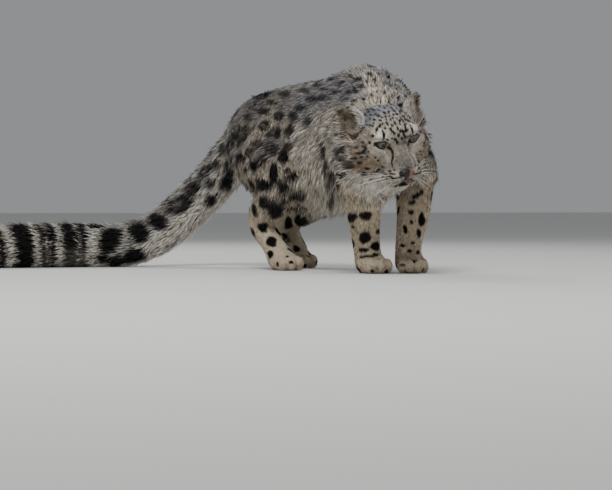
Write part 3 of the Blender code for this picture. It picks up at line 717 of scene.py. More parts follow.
class Zone(Enum):
    """A part of the coat: ground colour, its marks' spacing, radius and share of rings, grizzle, shag."""

    BACK = ("#878585", 0.047, 0.021, 0.85, 0.44, 1.0)
    FLANK = ("#B9B1A6", 0.05, 0.022, 0.8, 0.36, 1.1)
    LOW_FLANK = ("#CBC2B4", 0.0, 0.014, 0.3, 0.26, 1.5)
    BELLY = ("#CFC7BA", 0.0, 0.01, 0.0, 0.24, 1.5)
    HIP = ("#7E7974", 0.043, 0.02, 0.7, 0.42, 1.0)
    THIGH = ("#B9AE9D", 0.04, 0.019, 0.45, 0.3, 1.1)
    NAPE = ("#BFB4A3", 0.034, 0.012, 0.0, 0.5, 1.2)
    RUFF = ("#A69D92", 0.05, 0.012, 0.0, 0.32, 1.5)
    THROAT = ("#CEC7BC", 0.0, 0.006, 0.0, 0.26, 2.5)
    LEG = ("#D3C3AB", 0.036, 0.011, 0.0, 0.24, 1.0)
    SHIN = ("#CDBFA8", 0.034, 0.01, 0.0, 0.24, 1.0)
    PAW = ("#C8B9A2", 0.024, 0.005, 0.0, 0.2, 1.0)
    TAIL_TOP = ("#B4AFA8", 0.054, 0.024, 0.4, 0.36, 1.0)
    TAIL_UNDER = ("#E0D8CB", 0.0, 0.012, 0.0, 0.22, 1.1)
    CROWN = ("#95969B", 0.0105, 0.0036, 0.0, 0.3, 1.0)
    MOTTLE = ("#ABA296", 0.0085, 0.003, 0.0, 0.22, 1.0)
    FACE = ("#A89C8C", 0.0, 0.003, 0.0, 0.24, 1.0)
    BRIDGE = ("#7F7972", 0.0, 0.003, 0.0, 0.18, 1.0)
    MUZZLE = ("#B9B0A3", 0.0, 0.002, 0.0, 0.18, 1.0)
    CHIN = ("#D8D3CB", 0.0, 0.002, 0.0, 0.1, 1.5)
    BROW = ("#DDD6C9", 0.0, 0.002, 0.0, 0.14, 1.0)
    CHEEK = ("#A9967E", 0.05, 0.006, 0.0, 0.28, 1.0)
    EAR_BASE = ("#A3937F", 0.0, 0.004, 0.0, 0.4, 1.2)

    def __init__(self, tone: str, *numbers: float) -> None:
        self.tone = tone
        self.numbers = numbers
        self.spacing, self.radius, self.ring, self.grizzle, self.shag = numbers


class Region(Enum):
    """The stretches of the coat that become pieces of their own."""

    HEAD = 0
    NECK = 1
    TRUNK = 2
    TAIL = 3
    FORELEGS = 4
    HINDLEGS = 5


@dataclass
class Animal:
    """The outer sizes of the body, over its coat."""

    # From rump to chest: y, x of the spine, top, bottom, half width.
    trunk: tuple = (
        (0.548, 0.0, 0.366, 0.285, 0.048), (0.515, 0.0, 0.412, 0.24, 0.084), (0.45, 0.0, 0.446, 0.2, 0.11),
        (0.35, 0.002, 0.462, 0.17, 0.116), (0.24, 0.004, 0.47, 0.152, 0.124),
        (0.13, 0.002, 0.478, 0.155, 0.128), (0.03, 0.0, 0.499, 0.17, 0.128),
        (-0.045, -0.01, 0.482, 0.185, 0.124), (-0.1, -0.028, 0.445, 0.205, 0.108),
        (-0.14, -0.045, 0.41, 0.235, 0.08),
    )
    # x, y, z, half width, half height.
    neck: tuple = (
        (-0.015, -0.03, 0.35, 0.106, 0.106), (-0.045, -0.09, 0.335, 0.11, 0.11),
        (-0.078, -0.135, 0.318, 0.112, 0.112), (-0.104, -0.17, 0.305, 0.104, 0.104),
        (-0.118, -0.205, 0.3, 0.08, 0.085),
    )
    # Root to tip: x, y, z, radius, radius.
    tail: tuple = (
        (0.0, 0.49, 0.352, 0.058, 0.05), (-0.004, 0.56, 0.318, 0.062, 0.056),
        (-0.018, 0.606, 0.268, 0.062, 0.06), (-0.046, 0.645, 0.212, 0.061, 0.06),
        (-0.098, 0.68, 0.15, 0.06, 0.06), (-0.175, 0.714, 0.084, 0.06, 0.06),
        (-0.266, 0.75, 0.056, 0.061, 0.061), (-0.36, 0.785, 0.055, 0.062, 0.062),
        (-0.455, 0.812, 0.055, 0.062, 0.062), (-0.548, 0.832, 0.054, 0.06, 0.06),
        (-0.615, 0.84, 0.05, 0.052, 0.052), (-0.652, 0.842, 0.044, 0.036, 0.036),
        (-0.668, 0.843, 0.042, 0.018, 0.018),
    )
    # Top to ankle: x, y, z, half width, half depth.
    legs: dict = field(
        default_factory=lambda: {
            "foreleg_right": (
                (-0.07, -0.05, 0.345, 0.038, 0.046), (-0.092, -0.075, 0.255, 0.048, 0.062),
                (-0.086, -0.078, 0.205, 0.045, 0.054), (-0.076, -0.074, 0.14, 0.04, 0.042),
                (-0.063, -0.064, 0.078, 0.034, 0.034), (-0.059, -0.068, 0.04, 0.034, 0.032),
            ),
            "foreleg_left": (
                (0.06, -0.05, 0.345, 0.038, 0.046), (0.079, -0.072, 0.255, 0.043, 0.062),
                (0.081, -0.066, 0.205, 0.042, 0.054), (0.066, -0.08, 0.14, 0.04, 0.041),
                (0.042, -0.096, 0.082, 0.033, 0.033), (0.032, -0.104, 0.046, 0.033, 0.031),
            ),
            "hindleg_right": (
                (-0.06, 0.425, 0.33, 0.058, 0.1), (-0.088, 0.325, 0.285, 0.056, 0.092),
                (-0.104, 0.236, 0.242, 0.048, 0.066), (-0.106, 0.275, 0.18, 0.041, 0.05),
                (-0.097, 0.33, 0.118, 0.031, 0.037), (-0.091, 0.298, 0.078, 0.031, 0.03),
                (-0.088, 0.262, 0.042, 0.034, 0.031),
            ),
            "hindleg_left": (
                (0.06, 0.435, 0.33, 0.058, 0.1), (0.088, 0.365, 0.275, 0.056, 0.092),
                (0.102, 0.305, 0.21, 0.047, 0.062), (0.098, 0.385, 0.165, 0.04, 0.048),
                (0.084, 0.482, 0.125, 0.03, 0.037), (0.074, 0.45, 0.08, 0.031, 0.03),
                (0.067, 0.413, 0.042, 0.034, 0.031),
            ),
        }
    )
    # Ball of the paw, and its heading in degrees.
    paws: tuple = (
        ((-0.058, -0.086, 0.025), 6.0), ((0.03, -0.118, 0.025), -24.0), ((-0.087, 0.236, 0.024), 4.0),
        ((0.064, 0.388, 0.024), -3.0),
    )
    # Masses of the head on its midline: centre, radii, turn about the ear-to-ear line in degrees.
    head_middle: tuple = (
        ((0, 0.068, 0.0), (0.075, 0.08, 0.063), 0), ((0, 0.03, 0.012), (0.052, 0.044, 0.038), 0),
        ((0, -0.003, -0.024), (0.026, 0.05, 0.025), 42), ((0, 0.002, -0.056), (0.05, 0.046, 0.038), 0),
        ((0, -0.024, -0.061), (0.028, 0.025, 0.022), 0), ((0, -0.015, -0.091), (0.028, 0.026, 0.02), 0),
        ((0, 0.04, -0.1), (0.066, 0.052, 0.037), 0),
    )
    # Masses on each side: cheek, below the eye, brow, whisker pad, jaw, ruff.
    head_sides: tuple = (
        ((0.053, 0.038, -0.032), (0.046, 0.05, 0.05), 0), ((0.046, 0.018, -0.028), (0.029, 0.026, 0.02), 0),
        ((0.038, 0.022, 0.019), (0.025, 0.025, 0.017), 0),
        ((0.024, -0.022, -0.069), (0.026, 0.031, 0.023), 0),
        ((0.036, 0.018, -0.086), (0.032, 0.046, 0.026), 0), ((0.07, 0.078, -0.056), (0.054, 0.06, 0.06), 0),
    )

    def masses(self) -> Shape:
        """All the masses of the animal, still passing through one another."""
        shape = bmesh.new()
        self._add_trunk(shape)
        self._add_limb(shape, self.neck)
        for rows in self.legs.values():
            self._add_limb(shape, rows)
            x, y, _, half_side, half_up = rows[-1]
            add_ball(shape, (x, y, 0.036), (half_side, half_up + 0.002, 0.036))
        self._add_limb(shape, self.tail, 60)
        for side in SIDES:
            add_ball(shape, (side * 0.045 - 0.004, 0.01, 0.405), (0.044, 0.075, 0.072))
            add_ball(shape, (side * 0.073 - 0.009, -0.05, 0.3), (0.048, 0.075, 0.09))
        for centre, heading in self.paws:
            self._add_paw(shape, centre, heading)
        self._add_head(shape)
        return shape

    def _add_trunk(self, shape: Shape, steps: int = 40) -> None:
        """The barrel of the body, widest a little below its middle."""
        rings = []
        side, up = Vector((1, 0, 0)), Vector((0, 0, 1))
        for k in range(steps + 1):
            y, x, top, bottom, half = between(self.trunk, k / steps)
            middle = bottom + 0.46 * (top - bottom)
            rings.append(oval((x, y, middle), side, up, half, top - middle, middle - bottom, 2.2))
        add_loft(shape, rings)

    def _add_limb(self, shape: Shape, rows: Rows, steps: int = 28) -> None:
        """A limb, neck or tail: ovals square to the path through its rows."""
        rings = []
        for k in range(steps + 1):
            x, y, z, half_side, half_up = between(rows, k / steps)
            side, up = square_to(heading_at(rows, k / steps))
            rings.append(oval((x, y, z), side, up, half_side, half_up, half_up))
        add_loft(shape, rings)

    def _add_paw(self, shape: Shape, centre: Row, heading: float) -> None:
        """A broad furred paw: pad, instep and four toes in an arc."""
        frame = Matrix.Translation(centre) @ Matrix.Rotation(math.radians(heading), 4, "Z")
        add_ball(shape, (0, 0.01, 0.0), (0.037, 0.038, 0.031), frame=frame)
        for across, ahead in ((-0.026, -0.018), (-0.01, -0.032), (0.01, -0.032), (0.026, -0.018)):
            add_ball(shape, (across, ahead, -0.007), (0.0125, 0.021, 0.0195), (-12, 0, 0), frame)

    def _add_head(self, shape: Shape) -> None:
        """Skull, cheeks, muzzle, chin and ruff, the same left and right."""
        frame = head_frame()
        for centre, radii, turn in self.head_middle:
            add_ball(shape, centre, radii, (turn, 0, 0), frame)
        for side in SIDES:
            for (x, y, z), radii, turn in self.head_sides:
                add_ball(shape, (side * x, y, z), radii, (turn, 0, 0), frame)


@dataclass
class CoatReading:
    """What the coat's map says at some places: lie, depth, ground colour and marks."""

    lie: Array
    depth: Array
    tone: Array
    spacing: Array
    radius: Array
    ring: Array
    grizzle: Array
    shag: Array


@dataclass
class CoatMap:
    """Places on the body where the coat is known. In between, the nearest ones count most."""

    animal: Animal
    packed_down: float = 0.85  # how deep the dressed skin lies, of the hair's full depth
    places: list = field(default_factory=list)
    lies: list = field(default_factory=list)
    depths: list = field(default_factory=list)
    zones: list = field(default_factory=list)
    regions: list = field(default_factory=list)
    # In the head's frame: place, lie, depth, zone.
    head: tuple = (
        ((0, -0.048, -0.05), (0, 0.5, 0.85), 0.0, Zone.BRIDGE),
        ((0, -0.036, -0.03), (0, 0.5, 0.85), 0.0, Zone.BRIDGE),
        ((0.014, -0.03, -0.026), (0.1, 0.5, 0.85), 0.0, Zone.BRIDGE),
        ((0.02, -0.02, -0.018), (0.3, 0.6, 0.7), 0.0, Zone.FACE),
        ((0, -0.05, -0.078), (0, 0.8, -0.3), 0.0, Zone.MUZZLE),
        ((0, -0.014, -0.01), (0, 0.4, 0.9), 0.0, Zone.BRIDGE),
        ((0, -0.004, 0.018), (0, 0.5, 0.9), 0.0, Zone.MOTTLE),
        ((0.018, -0.002, 0.024), (0.15, 0.5, 0.9), 0.0, Zone.MOTTLE),
        ((0, 0.014, 0.044), (0, 0.7, 0.7), 0.001, Zone.MOTTLE),
        ((0.03, 0.018, 0.046), (0.2, 0.8, 0.6), 0.001, Zone.MOTTLE),
        ((0, 0.07, 0.064), (0, 1, 0), 0.002, Zone.CROWN),
        ((0.035, 0.06, 0.06), (0.1, 1, 0), 0.003, Zone.CROWN),
        ((0.062, 0.062, 0.044), (0.4, 0.9, 0.1), 0.006, Zone.CROWN),
        ((0.07, 0.066, 0.026), (0.6, 0.7, 0.2), 0.008, Zone.CROWN),
        ((0.08, 0.066, 0.006), (0.5, 0.7, 0.5), 0.009, Zone.EAR_BASE),
        ((0.09, 0.078, -0.004), (0.5, 0.8, 0.2), 0.011, Zone.EAR_BASE),
        ((0, 0.125, 0.045), (0, 1, -0.2), 0.012, Zone.NAPE),
        ((0.04, -0.004, 0.0), (0.5, 0.8, 0.1), 0.0, Zone.FACE),
        ((0.041, -0.004, 0.017), (0.25, 0.5, 0.8), 0.0, Zone.BROW),
        ((0.046, 0.004, 0.03), (0.25, 0.7, 0.7), 0.0005, Zone.BROW),
        ((0.05, -0.002, -0.017), (0.5, 0.8, -0.1), 0.0, Zone.MUZZLE),
        ((0.034, -0.014, -0.018), (0.4, 0.8, 0.1), 0.0, Zone.MUZZLE),
        ((0.042, -0.02, -0.072), (0.4, 0.9, -0.2), 0.0, Zone.MUZZLE),
        ((0.022, -0.048, -0.07), (0.5, 0.8, -0.1), 0.0, Zone.MUZZLE),
        ((0.064, 0.03, 0.016), (0.35, 0.9, 0.0), 0.001, Zone.FACE),
        ((0.074, 0.052, 0.006), (0.35, 0.9, -0.1), 0.004, Zone.FACE),
        ((0.07, 0.018, -0.014), (0.35, 0.9, -0.2), 0.001, Zone.FACE),
        ((0.088, 0.034, -0.018), (0.3, 0.85, -0.4), 0.005, Zone.CHEEK),
        ((0.066, 0.004, -0.04), (0.35, 0.9, -0.3), 0.001, Zone.CHEEK),
        ((0.084, 0.018, -0.048), (0.3, 0.85, -0.4), 0.005, Zone.CHEEK),
        ((0.096, 0.05, -0.032), (0.3, 0.85, -0.4), 0.009, Zone.RUFF),
        ((0.112, 0.08, -0.055), (0.3, 0.8, -0.5), 0.018, Zone.RUFF),
        ((0.104, 0.09, -0.02), (0.3, 0.9, -0.2), 0.014, Zone.RUFF),
        ((0.056, -0.006, -0.076), (0.3, 0.85, -0.4), 0.002, Zone.MUZZLE),
        ((0.06, 0.01, -0.09), (0.3, 0.75, -0.6), 0.008, Zone.THROAT),
        ((0.08, 0.04, -0.092), (0.3, 0.7, -0.6), 0.014, Zone.THROAT),
        ((0.08, 0.07, -0.11), (0.2, 0.6, -0.8), 0.02, Zone.THROAT),
        ((0, -0.036, -0.104), (0, 0.4, -0.9), 0.002, Zone.CHIN),
        ((0, 0.01, -0.125), (0, 0.4, -0.9), 0.018, Zone.THROAT),
        ((0, 0.06, -0.135), (0, 0.6, -0.8), 0.022, Zone.THROAT),
    )

    def __post_init__(self) -> None:
        """Fills the map from the animal's own rows."""
        self._map_trunk()
        self._map_neck()
        self._map_tail()
        self._map_legs()
        self._map_head()

    def _add(self, place: object, lie: object, depth: float, zone: Zone, region: Region) -> None:
        """Adds one place to the map."""
        self.places.append(tuple(place))
        self.lies.append(tuple(Vector(lie).normalized()))
        self.depths.append(depth * self.packed_down)
        self.zones.append(zone)
        self.regions.append(region.value)

    def _map_trunk(self) -> None:
        """Back, flanks and belly."""
        for k in range(10):
            y, x, top, bottom, half = between(self.animal.trunk, k / 9)
            tall = top - bottom
            rear = y > 0.2
            upper = Zone.HIP if rear else Zone.BACK
            middle = Zone.HIP if rear else Zone.FLANK
            lower = Zone.THIGH if rear else Zone.LOW_FLANK
            self._add((x, y, top), (0, 1, -0.1), 0.006, upper, Region.TRUNK)
            self._add((x, y, bottom), (0, 0.55, -0.84), 0.024, Zone.BELLY, Region.TRUNK)
            for side in SIDES:
                spot = (x + side * half * 0.85, y, top - 0.18 * tall)
                self._add(spot, (side * 0.2, 0.85, -0.45), 0.008, upper, Region.TRUNK)
                spot = (x + side * half, y, bottom + 0.45 * tall)
                self._add(spot, (0, 0.66, -0.75), 0.016, middle, Region.TRUNK)
                spot = (x + side * half * 0.8, y, bottom + 0.15 * tall)
                self._add(spot, (0, 0.6, -0.8), 0.022, lower, Region.TRUNK)

    def _map_neck(self) -> None:
        """Nape, sides of the neck and throat."""
        rows = self.animal.neck
        for side in SIDES:
            self._add((side * 0.128, -0.05, 0.31), (0, 0.4, -0.9), 0.014, Zone.RUFF, Region.NECK)
            self._add((side * 0.11, -0.11, 0.275), (0, 0.4, -0.9), 0.014, Zone.RUFF, Region.NECK)
        for k in range(5):
            x, y, z, half_side, half_up = rows[k]
            back = -heading_at(rows, k / 4)
            self._add((x, y, z + half_up), back + Vector((0, 0, 0.1)), 0.012, Zone.NAPE, Region.NECK)
            self._add((x, y, z - half_up), back + Vector((0, 0, -0.9)), 0.024, Zone.THROAT, Region.NECK)
            for side in SIDES:
                lie = back + Vector((side * 0.1, 0, -0.5))
                self._add((x + side * half_side, y, z), lie, 0.02, Zone.RUFF, Region.NECK)

    def _map_tail(self) -> None:
        """The tail: grey above, pale below."""
        rows = self.animal.tail
        for k in range(13):
            t = k / 12
            x, y, z, half, _ = between(rows, t)
            deep = 0.016 if t < 0.84 else 0.28 * half
            side, up = square_to(heading_at(rows, t))
            for quarter in range(4):
                out = side * math.cos(quarter * math.pi / 2) + up * math.sin(quarter * math.pi / 2)
                pale = out.z < -0.3 or (t < 0.35 and out.y > 0.5) or t > 0.55
                zone = Zone.TAIL_UNDER if pale else Zone.TAIL_TOP
                self._add(Vector((x, y, z)) + out * half, heading_at(rows, t), deep, zone, Region.TAIL)

    def _map_legs(self) -> None:
        """Legs from thigh or elbow to paw."""
        for name, rows in self.animal.legs.items():
            hind = name.startswith("hind")
            region = Region.HINDLEGS if hind else Region.FORELEGS
            top = 0.014 if hind else 0.01
            for k in range(len(rows)):
                t = k / (len(rows) - 1)
                side, up = square_to(heading_at(rows, t))
                x, y, z, half_side, half_up = rows[k]
                zone = (Zone.THIGH if t < 0.6 else Zone.SHIN) if hind else Zone.LEG
                if t < 0.3:
                    zone = (Zone.HIP if t < 0.15 else Zone.THIGH) if hind else Zone.RUFF
                for out, half in ((side, half_side), (-side, half_side), (up, half_up), (-up, half_up)):
                    deep = top * (1 - t) ** 1.4
                    self._add(Vector((x, y, z)) + out * half, heading_at(rows, t), deep, zone, region)
        for (x, y, z), _ in self.animal.paws:
            region = Region.HINDLEGS if y > 0.1 else Region.FORELEGS
            self._add((x, y - 0.03, z), (0, -1, -0.2), 0.0, Zone.PAW, region)
            self._add((x, y + 0.03, z), (0, -1, -0.4), 0.0, Zone.PAW, region)

    def _map_head(self) -> None:
        """The head, the same left and right."""
        frame = head_frame()
        turn = frame.to_3x3()
        for (x, y, z), lie, depth, zone in self.head:
            for side in SIDES if x else (1,):
                place = frame @ Vector((side * x, y, z))
                way = turn @ Vector((side * lie[0], lie[1], lie[2]))
                self._add(place, way, depth, zone, Region.HEAD)

    def _weights(self, points: Array) -> Array:
        """How much each known place counts at each point."""
        spots = np.array(self.places, dtype=np.float32)
        points = points.astype(np.float32)
        gap = (points**2).sum(axis=1)[:, None] + (spots**2).sum(axis=1)[None] - 2 * points @ spots.T
        gap = np.maximum(gap, 1e-6)
        weight = 1 / (gap * gap * np.sqrt(np.sqrt(gap)))
        return weight / weight.sum(axis=1, keepdims=True)

    def read(self, points: Array) -> CoatReading:
        """Reads the map at some places, one a row."""
        tones = np.array([to_linear(zone.tone) for zone in self.zones])
        numbers = np.array([zone.numbers for zone in self.zones])
        known = np.hstack([np.array(self.lies), np.array(self.depths)[:, None], tones, numbers])
        found = np.empty((len(points), known.shape[1]))
        for start in range(0, len(points), CHUNK):
            part = slice(start, start + CHUNK)
            found[part] = self._weights(points[part]) @ known
        return CoatReading(found[:, :3], found[:, 3], found[:, 4:7], *found[:, 7:12].T)

    def regions_at(self, points: Array) -> Array:
        """The region of the nearest known place, for each point."""
        labels = np.array(self.regions)
        found = np.empty(len(points), dtype=int)
        for start in range(0, len(points), CHUNK):
            part = slice(start, start + CHUNK)
            found[part] = labels[self._weights(points[part]).argmax(axis=1)]
        return found


# ---- The camera, which also places the marks that were seen


@dataclass
class Camera:
    """The photograph's point of view: 5 m away, 1 degree above the animal, 35 degrees to its right."""

    focal_px: float = 2080.0
    distance: float = 5.0
    azimuth: float = math.radians(-35)
    elevation: float = math.radians(1)
    aim: Vector = field(default_factory=lambda: Vector((0, 0.02, 0.5)))
    aim_px: tuple[float, float] = (366, 64)

    def axes(self) -> tuple[Vector, Vector, Vector]:
        """The camera's right, up and forward ways."""
        az, el = self.azimuth, self.elevation
        forward = Vector((-math.sin(az) * math.cos(el), math.cos(az) * math.cos(el), -math.sin(el)))
        right = Vector((math.cos(az), math.sin(az), 0))
        return right, right.cross(forward), forward

    def place(self) -> Vector:
        """Where the camera stands, in the body's frame."""
        right, up, forward = self.axes()
        scale = self.distance / self.focal_px
        across, down = self.aim_px[0] - PHOTO_WIDTH / 2, self.aim_px[1] - PHOTO_HEIGHT / 2
        return self.aim - forward * self.distance - right * (across * scale) + up * (down * scale)

    def ray(self, x: float, y: float) -> tuple[Vector, Vector]:
        """The ray through a place in the picture, in pixels."""
        right, up, forward = self.axes()
        way = forward * self.focal_px + right * (x - PHOTO_WIDTH / 2) - up * (y - PHOTO_HEIGHT / 2)
        return self.place(), way.normalized()

    def pixel(self, point: Vector) -> tuple[float, float]:
        """Where a point of the body shows in the picture."""
        right, up, forward = self.axes()
        away = point - self.place()
        scale = self.focal_px / away.dot(forward)
        return PHOTO_WIDTH / 2 + away.dot(right) * scale, PHOTO_HEIGHT / 2 - away.dot(up) * scale

    def build(self, origin: Vector) -> None:
        """Makes the camera and gives it to the scene, where origin is the place of the body's frame."""
        right, up, forward = self.axes()
        data = bpy.data.cameras.new("photo_view")
        data.sensor_width = 36
        data.lens = self.focal_px / PHOTO_WIDTH * 36
        camera = bpy.data.objects.new("photo_view", data)
        bpy.context.scene.collection.objects.link(camera)
        turn = Matrix((right, up, -forward)).transposed().to_4x4()
        camera.matrix_world = Matrix.Translation(self.place() + origin) @ turn
        bpy.context.scene.camera = camera


# ---- Markings


class MarkKind(Enum):
    """Solid spots, broken rings with a darker middle, and soft smoky blotches, some of which are painted
    shadow.
    """

    SPOT = 1
    RING = 2
    SMOKE = 3


@dataclass(frozen=True)
class Mark:
    """One mark on the skin: its middle, the way that it faces, and its two half axes."""

    centre: Array
    normal: Array
    along: Array
    across: Array
    half_long: float
    half_wide: float
    kind: MarkKind
    seed: int = 0


@dataclass
class Markings:
    """The coat's spots, rings and bands: first the marks that were seen, then those of the hidden sides."""

    surface: Surface
    coat: CoatMap
    camera: Camera
    shell: BVHTree | None = None  # the coat's outside, which the picture shows
    marks: list = field(default_factory=list)
    black: str = "#0B0A09"
    # Tone of smoky blotches and ring middles, and of the painted shadow between ruff and shoulder.
    smoke_and_shade: str = "#1B1918"
    eye_seen: tuple[float, float] = (381.9, 146.5)  # the near eye's place in the picture
    tries: int = 26000  # places tried for the marks of the hidden sides
    # Seen on the head: x, y, width, height in pixels, lean in degrees, kind. The last two may be left out.
    head_seen: tuple = (
        (383.2, 135.5, 2.6, 9.5, 6), (378, 126.8, 9.5, 2.4, 42), (391, 131.5, 2.2, 9, 38),
        (371, 136.6, 4.2, 3.2), (368.2, 143.2, 3.4, 3.2), (363.6, 149.8, 3, 8, -8), (356.6, 154.5, 5, 3.6),
        (361.4, 152.8, 3.4, 4), (367.2, 152.6, 2.6, 2.2), (357.6, 164.4, 5, 3.6, -20),
        (347.2, 166.8, 10, 7.5, -20, 3), (365.6, 170.4, 6, 2.6, -8), (332.2, 173, 4, 5, 0, 3),
        (337.2, 184, 8, 5, 10, 3), (391.2, 157.5, 1.9, 12.5, -4), (394.5, 140.5, 3.4, 2.6, 20),
        (398, 136, 3, 4, 20), (401.5, 139.5, 3, 2.6), (397, 129, 2.2, 5, 24), (402, 132, 2.4, 4.4, 10),
        (404.5, 126, 2.2, 4.4), (394, 123, 2, 4.4, 24), (399, 121, 2.4, 3.4), (386, 124, 2, 5, 30),
        (373, 120, 3, 2.4), (378.6, 121, 2.8, 2.6), (369, 115.2, 3, 2.2), (363.2, 115, 3, 2.4),
        (365.4, 109, 3, 3.2), (372.2, 110, 2.4, 3.4), (377.2, 116, 3.2, 2.6), (383, 108, 2.4, 2.8),
        (388, 112, 2.8, 3), (391.2, 105, 2.6, 2.4), (396, 114, 4.4, 2, -24), (398.4, 107, 3.4, 2.6),
        (402.4, 116.4, 4.4, 2, -30), (384.5, 116.5, 2.4, 2.4), (380, 103, 2.2, 2.6), (392, 118, 2.4, 2.4),
        (405, 108.5, 2.4, 3), (386, 99.5, 2.2, 2.6), (374, 145.6, 3.4, 2.6, -20),
        (388.4, 149.5, 4.6, 3.2, -34), (391, 174.5, 7, 1.6, -6), (388.5, 177.6, 4.4, 1.6, -10),
        (393.2, 187, 7, 5.4), (402.6, 186, 11, 4.2, 6), (386, 141, 3, 2.4), (393.6, 134.5, 2.4, 3),
        (399.5, 131.5, 2.4, 3.4), (406.5, 131, 2.4, 3.4, -20), (381, 124.5, 3.6, 2.4, 30),
        (375.2, 130.5, 2.4, 6.5, -24), (396.5, 143, 2.6, 3), (403.5, 135.8, 2.6, 3), (371, 126.5, 2.8, 2.6),
        (388, 171.8, 3, 1.8, -10), (383.5, 175, 3, 1.8, -10), (393, 170.5, 2.6, 1.6, -6),
        (384.5, 179.5, 3, 1.6, -10), (359.5, 158.5, 3.4, 2.4), (353.6, 148, 3, 3.4),
        (390.3, 152.2, 1.7, 4.6, 24), (391, 166, 1.6, 5, 6, 3), (365.8, 158, 2.6, 2), (353, 159.5, 3.6, 2.6),
        (360.5, 146.5, 2.4, 3), (352.5, 183, 7, 4, 0, 3), (344, 176.5, 5, 4, 0, 3), (339.5, 160, 8, 7, 0, 3),
        (341, 150, 7, 6, 0, 3), (397.5, 178.8, 9, 1.3, 8), (392, 179.3, 7, 1.4, -4),
    )
    # Seen on neck, back, hip, thigh, belly and legs, in the same way.
    body_seen: tuple = (
        (369.6, 75.2, 6.4, 5.4), (358.6, 79.6, 9, 5, 10), (362.8, 87.4, 6, 5), (350.6, 75.7, 4.4, 4, 0, 3),
        (324, 88, 8, 3.6, -20, 3), (346.4, 108.8, 5, 4, 0, 3), (386.2, 72.8, 4, 2.6, -20, 3),
        (374.6, 71, 3.6, 2.4, -8, 3), (363, 71.4, 4, 2.4, 8, 3), (356.8, 91, 5.6, 4.8),
        (349, 91.4, 7, 4.4, 0, 3), (347.6, 98.4, 6, 3.8, 0, 3), (353.4, 101.2, 4.8, 4.8, 0, 3),
        (374.4, 81.2, 3, 4.4), (379, 75, 4.2, 4.2), (366.8, 82.6, 3, 3), (388.4, 77, 3.6, 4.4, -20),
        (384, 84.5, 3.2, 4), (391, 86, 3, 4, -30), (397, 88.5, 3.2, 4, -30), (377.4, 92, 2.2, 3.2),
        (384.4, 92.4, 2.2, 3.4), (371.5, 95.5, 2.6, 3), (391.5, 95, 2.6, 3.4), (399, 98, 3, 3.4, -30),
        (405.5, 96, 3, 4, -40), (364, 98, 3, 3.6), (341, 82, 8, 4, 12, 3), (336, 92, 8, 5, 0, 3),
        (330, 78.5, 8, 4, 10, 3), (240.6, 134.2, 15, 17, -24, 2), (262.6, 110.4, 13, 7, -10, 3),
        (285, 93.4, 14, 6.5, -16, 3), (289, 130, 9, 13, -10, 3), (293, 115.4, 10, 9, -20, 3),
        (300, 107.4, 9, 6, 0, 3), (262.4, 124, 13, 9, -10, 2), (273.2, 131.6, 12, 10, 0, 2),
        (312, 98.4, 11, 6, -10, 3), (322, 96.6, 8, 5, -10, 3), (304, 90, 12, 5, -12, 3),
        (317, 84.5, 11, 4.5, -14, 3), (272, 101.5, 12, 5.5, -20, 3), (248.5, 117, 9, 8, -40, 3),
        (278.5, 115.5, 10, 8, -10, 2), (307, 121, 8, 9, 10, 3), (238.4, 157.4, 8, 9, -20),
        (248.6, 151.8, 10, 10, -10, 3), (252.4, 165, 9, 8), (262, 158.6, 10, 11, 0, 3),
        (283.4, 157.4, 10, 14, -10), (288, 145.8, 11, 11, -14, 3), (272.6, 148.4, 12, 11, 0, 3),
        (257, 143, 12, 10, 0, 3), (229.4, 181, 10, 21, -8), (243.6, 170.2, 6, 5), (254.2, 165, 9, 11),
        (262.4, 184.4, 13, 13, -30), (272.6, 173.4, 9, 18, -6), (286, 170, 7, 6), (293, 176, 7, 8, -30),
        (282.6, 186.6, 12, 12), (299.6, 194.4, 16, 9, -14), (279.2, 211.6, 16, 17, -40),
        (300.2, 219.8, 13, 17, -14), (262.6, 203.2, 9, 14, -14), (262.4, 227, 9, 9),
        (271.4, 240.4, 10, 9, 30), (256.4, 243, 9, 8), (284, 236, 6, 7), (338.4, 183, 5, 6, 0, 3),
        (334, 172.6, 4, 5, 0, 3), (332.5, 195.4, 4.6, 10, -10, 3), (337.6, 218.6, 5, 9),
        # Painted shadow: these three smoke marks darken the band where shade falls between the ruff and the
        # shoulder.
        (322.5, 150, 5, 15, 0, 3), (324.5, 167, 5, 14, -8, 3), (328.5, 184, 5, 12, -14, 3),
        (332, 201, 6, 9, 0, 3), (333.4, 140.6, 6, 7, 0, 3), (336.6, 153.4, 7, 8, 0, 3), (331.6, 174, 6, 7),
        (337.4, 185, 6, 6), (346.6, 166.8, 7, 6, 0, 3), (321, 97.3, 7, 6, 0, 3), (365.2, 215.6, 11.5, 8.5),
        (350, 219.4, 9, 9), (349.2, 238.2, 9, 9), (365.2, 238.8, 11, 11), (340.6, 248.6, 10.5, 10),
        (351, 249.6, 7, 4.6), (363.2, 250.2, 11, 4), (376.2, 246.6, 9.5, 8), (366.4, 256, 14, 2.6, 4),
        (376.2, 254.2, 7, 3), (372.6, 272, 3.6, 3.6), (386.4, 273.4, 3.4, 4.8), (352, 227.5, 4, 3),
        (379, 232, 4.5, 5), (381, 219, 4.5, 5), (418.2, 194.4, 14, 4.6, 30), (412.4, 202.4, 6.4, 4.2, 24),
        (411, 212.2, 6.4, 4.2, -12), (422.2, 219.4, 6.4, 15, 4), (431, 211.2, 5.4, 11),
        (428.2, 228.2, 4.2, 5.4), (419.6, 233.2, 5.2, 7.6), (405, 229.2, 4, 8, 12), (424.2, 239.2, 4.2, 4.2),
        (402, 245.6, 4.4, 3.2), (409.2, 251.2, 4.4, 3.2), (402.2, 265, 6, 3, 0, 3), (413, 243, 4, 3),
        (418.5, 252.5, 4, 3.6), (411.5, 222, 3, 4),
    )
